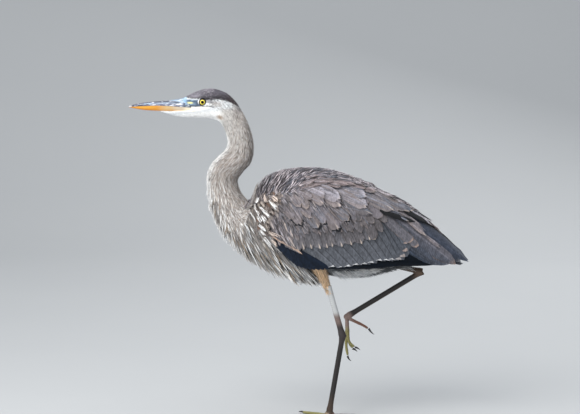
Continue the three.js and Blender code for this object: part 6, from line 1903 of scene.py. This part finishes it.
def claw_piece(name, start, d, length, mat, floor=None):
    d = np.asarray(d, float) / np.linalg.norm(d)
    up = np.array([0, 0, 1.0]) if abs(d[2]) < 0.6 else np.array([1.0, 0, 0.2])
    up = up - d * (up @ d)
    up /= np.linalg.norm(up)
    across = np.cross(d, up)
    t = np.linspace(0, 1, 30)
    f = np.linspace(-PI, PI, 25)
    T, Fg = np.meshgrid(t, f, indexing="ij")
    r = 2.15 * (1 - T) ** 0.75 + 0.16
    arch = 1.3 * np.sin(T * PI * 0.85) - 1.5 * T**2
    c = np.asarray(start, float) - d * 1.6 + d * ((length + 1.4) * t)[:, None] + up * arch[:, :1]
    g = c[:, None] + (r * np.cos(Fg) * 1.15)[..., None] * up + (r * np.sin(Fg) * 0.8 * (1 - 0.3 * (np.cos(Fg) < -0.3)))[..., None] * across
    if floor is not None:
        g[..., 2] = np.maximum(g[..., 2], floor)
    P = Piece(name)
    col = mix(np.broadcast_to(C["claw"] * 1.7, g.shape), C["claw"], step(T, 0.0, 0.35))
    uv = np.stack([0.02 + 0.96 * T, 0.02 + 0.96 * (Fg + PI) / (2 * PI)], -1)
    k = g.size // 3
    faces = grid_faces(30, 25)
    P.add(g.reshape(-1, 3), faces, rgba(col).reshape(-1, 4), np.zeros((k, 4)), np.zeros((k, 2)), uv.reshape(-1, 2))
    return P.build(mat)


# ------------------------------------------------------------------ build it all
MATS = {
    "fine": feather_material("feather_fine", barbs=7, slant=2.0, shaft=0.15, vary=0.26, rough=0.78, sheen=0.2, bump=0.25, depth=0.0002),
    "plume": feather_material("feather_plume", barbs=30, slant=3.0, shaft=0.25, vary=0.3, rough=0.75, sheen=0.2, bump=0.3, fringe=(0.35, 0.9), tip=(0.75, 0.95)),
    "down": feather_material("feather_down", barbs=12, slant=2.0, shaft=0.05, vary=0.3, rough=0.85, sheen=0.3, bump=0.3),
    "streak": feather_material("feather_streak", barbs=18, slant=3.0, shaft=0.25, vary=0.32, rough=0.7, sheen=0.12, bump=0.35, fringe=(0.3, 0.85), tip=(0.7, 0.95), grain=0.3),
    "covert": feather_material("feather_covert", barbs=16, slant=4.0, shaft=0.3, vary=0.28, rough=0.68, sheen=0.1, bump=0.35, fringe=(0.72, 0.96), tip=(0.80, 0.96), grain=0.42),
    "scap": feather_material("feather_scap", barbs=30, slant=6.0, shaft=0.25, vary=0.42, rough=0.72, sheen=0.12, bump=0.35, fringe=(0.90, 0.999), tip=(0.93, 0.985), dark_edge_and_shade=0.15, grain=0.34),
    "quill": feather_material("feather_quill", barbs=46, slant=9.0, shaft=0.55, vary=0.42, rough=0.6, sheen=0.08, bump=0.3, fringe=(0.90, 0.995), tip=(0.93, 0.985), dark_edge_and_shade=0.55, grain=0.42, spec=0.12),
}
FLESH = {
    "head": ["head"], "neck": ["neck_upper", "neck_middle", "neck_lower"], "body": ["trunk", "tail", "breast_plumes"],
    "wings": ["wing_left_coverts", "wing_right_coverts", "wing_left_flight", "wing_right_flight"],
    "legs": ["thigh_left", "thigh_right", "shank_left", "shank_right", "tarsus_left", "tarsus_right", "foot_left_ball", "foot_right_ball"]
            + ["toe_%s_%s" % (s, t) for s in ("left", "right") for t in ("inner", "middle", "outer", "hind")],
}

skin, claws = build_skin()
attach(skin, "root")
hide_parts(*[n for group in FLESH.values() for n in group])

coat = [(coat_head(MATS), ["head"], "feathers_head")]
coat += [(ob, ["neck_upper", "neck_middle", "neck_lower"], "feathers_neck") for ob in coat_neck(MATS)]
coat += [(coat_chest(MATS), ["trunk"], "feathers_body"), (coat_plumes(MATS), ["breast_plumes"], "feathers_plume"), (coat_belly(MATS), ["trunk"], "feathers_body"),
         (coat_back(MATS), ["trunk"], "feathers_body"), (coat_thighs(MATS), ["thigh_left", "thigh_right"], "feathers_thigh"), (coat_tail(MATS), ["tail"], "feathers_flight")]
for side, word in ((1, "left"), (-1, "right")):
    coat.append((wing_large(MATS, side, "wing_%s_quills" % word), ["wing_%s_flight" % word], "feathers_flight"))
    coat.append((wing_small(MATS, side, "wing_%s_small" % word), ["wing_%s_coverts" % word], "feathers_coverts"))
    coat.append((wing_scapulars(MATS, side, "wing_%s_scapulars" % word), ["wing_%s_coverts" % word], "feathers_coverts"))
for ob, nodes, slot in coat:
    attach(ob, "root")
    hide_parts(*nodes)

horn_up, horn_low = horn_material("bill_upper_mat", 0.3, mottle=0.85), horn_material("bill_lower_mat", 0.16)
for which, mat, slot in (("upper", horn_up, "bill_dark_horn"), ("lower", horn_low, "bill_orange_horn")):
    ob = bill_half_piece(which, mat)
    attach(ob, "root")
    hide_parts("bill_" + which)
eye_mat = eye_material()
for side, word in ((1, "left"), (-1, "right")):
    ob = eye_piece(side, eye_mat)
    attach(ob, "root")
    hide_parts("eye_" + word)
lids = lids_piece(tinted_material("lid_mat", rough=0.4, vary=0.2, scale=500, bump=0.3, depth=0.0002, spec=0.4))
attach(lids, "root")
claw_mat = horn_material("claw_mat", 0.3, 0.4)
for which in LEGS:
    for toe, (start, d, length) in claws[which].items():
        ob = claw_piece("claw_%s_%s_horn" % (which, toe), start, d, length, claw_mat, floor=-3.2 if which == "left" else None)
        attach(ob, "root")
        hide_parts("claw_%s_%s" % (which, toe))

# ------------------------------------------------------------------ floor, light and camera
def plain_floor():
    """A pale floor that curves up a little far behind the bird, out of the way of a view from its other side."""
    me = bpy.data.meshes.new("floor")
    n = 60
    xs = np.linspace(-9, 9, n)
    curve = [(9.0, 0.0), (4.0, 0.0), (2.0, 0.0), (0.5, 0.0), (-1.0, 0.0), (-2.2, 0.0)]
    for k in range(1, 9):
        f = math.radians(52) * k / 8
        curve.append((-2.2 - 1.6 * math.sin(f), 1.6 - 1.6 * math.cos(f)))
    pts = [(float(x), float(y), float(z)) for y, z in curve for x in xs]
    me.from_pydata(pts, [], [tuple(int(i) for i in f) for f in grid_faces(len(curve), n)])
    me.polygons.foreach_set("use_smooth", np.full(len(me.polygons), True))
    k = Net("floor_mat")
    a = k.noise(3.0, 4.0, 0.5)
    col = k.mixc(k.math("MULTIPLY", a, 0.25), tuple(lin(188, 190, 191)), tuple(lin(175, 178, 181)))
    k.set(Base_Color=col, Roughness=0.85, Specular_IOR_Level=0.15)
    me.materials.append(k.mat)
    ob = bpy.data.objects.new("floor", me)
    bpy.context.scene.collection.objects.link(ob)
    return ob


plain_floor()


def area(name, where, at, size, power, colour=(1, 1, 1)):
    light = bpy.data.lights.new(name, "AREA")
    light.shape, light.size, light.size_y = "RECTANGLE", size[0], size[1]
    light.energy, light.color = power, colour
    ob = bpy.data.objects.new(name, light)
    ob.location = where
    d = Vector(at) - Vector(where)
    ob.rotation_euler = d.to_track_quat("-Z", "Y").to_euler()
    bpy.context.scene.collection.objects.link(ob)


area("key", (1.3, 1.6, 2.6), (0.0, 0.0, 0.45), (1.8, 1.8), 74, (1.0, 0.985, 0.96))
area("sky", (-0.2, 0.2, 3.4), (0.0, 0.0, 0.4), (3.2, 3.2), 55, (0.95, 0.975, 1.0))
area("fill", (1.5, 2.3, 0.35), (0.1, 0.0, 0.5), (2.0, 0.6), 23.5, (0.98, 0.985, 1.0))
area("back", (-1.0, -2.4, 1.6), (0.0, 0.0, 0.5), (2.0, 1.6), 22, (1.0, 1.0, 1.0))
world = bpy.data.worlds.new("world")
world.use_nodes = True
world.node_tree.nodes["Background"].inputs[0].default_value = (0.80, 0.84, 0.90, 1)
world.node_tree.nodes["Background"].inputs[1].default_value = 0.50
bpy.context.scene.world = world

TARGET = Vector((0.0895, 0.0, 0.4824))
cam = bpy.data.cameras.new("camera")
cam.sensor_width, cam.lens = 36.0, 275.9
cam.clip_end = 60
cam_ob = bpy.data.objects.new("camera", cam)
tilt = math.radians(9.0)
cam_ob.location = TARGET + Vector((0, 10 * math.cos(tilt), 10 * math.sin(tilt)))
cam_ob.rotation_euler = (TARGET - cam_ob.location).to_track_quat("-Z", "Y").to_euler()
bpy.context.scene.collection.objects.link(cam_ob)
bpy.context.scene.camera = cam_ob
bpy.context.scene.view_settings.view_transform = "Standard"
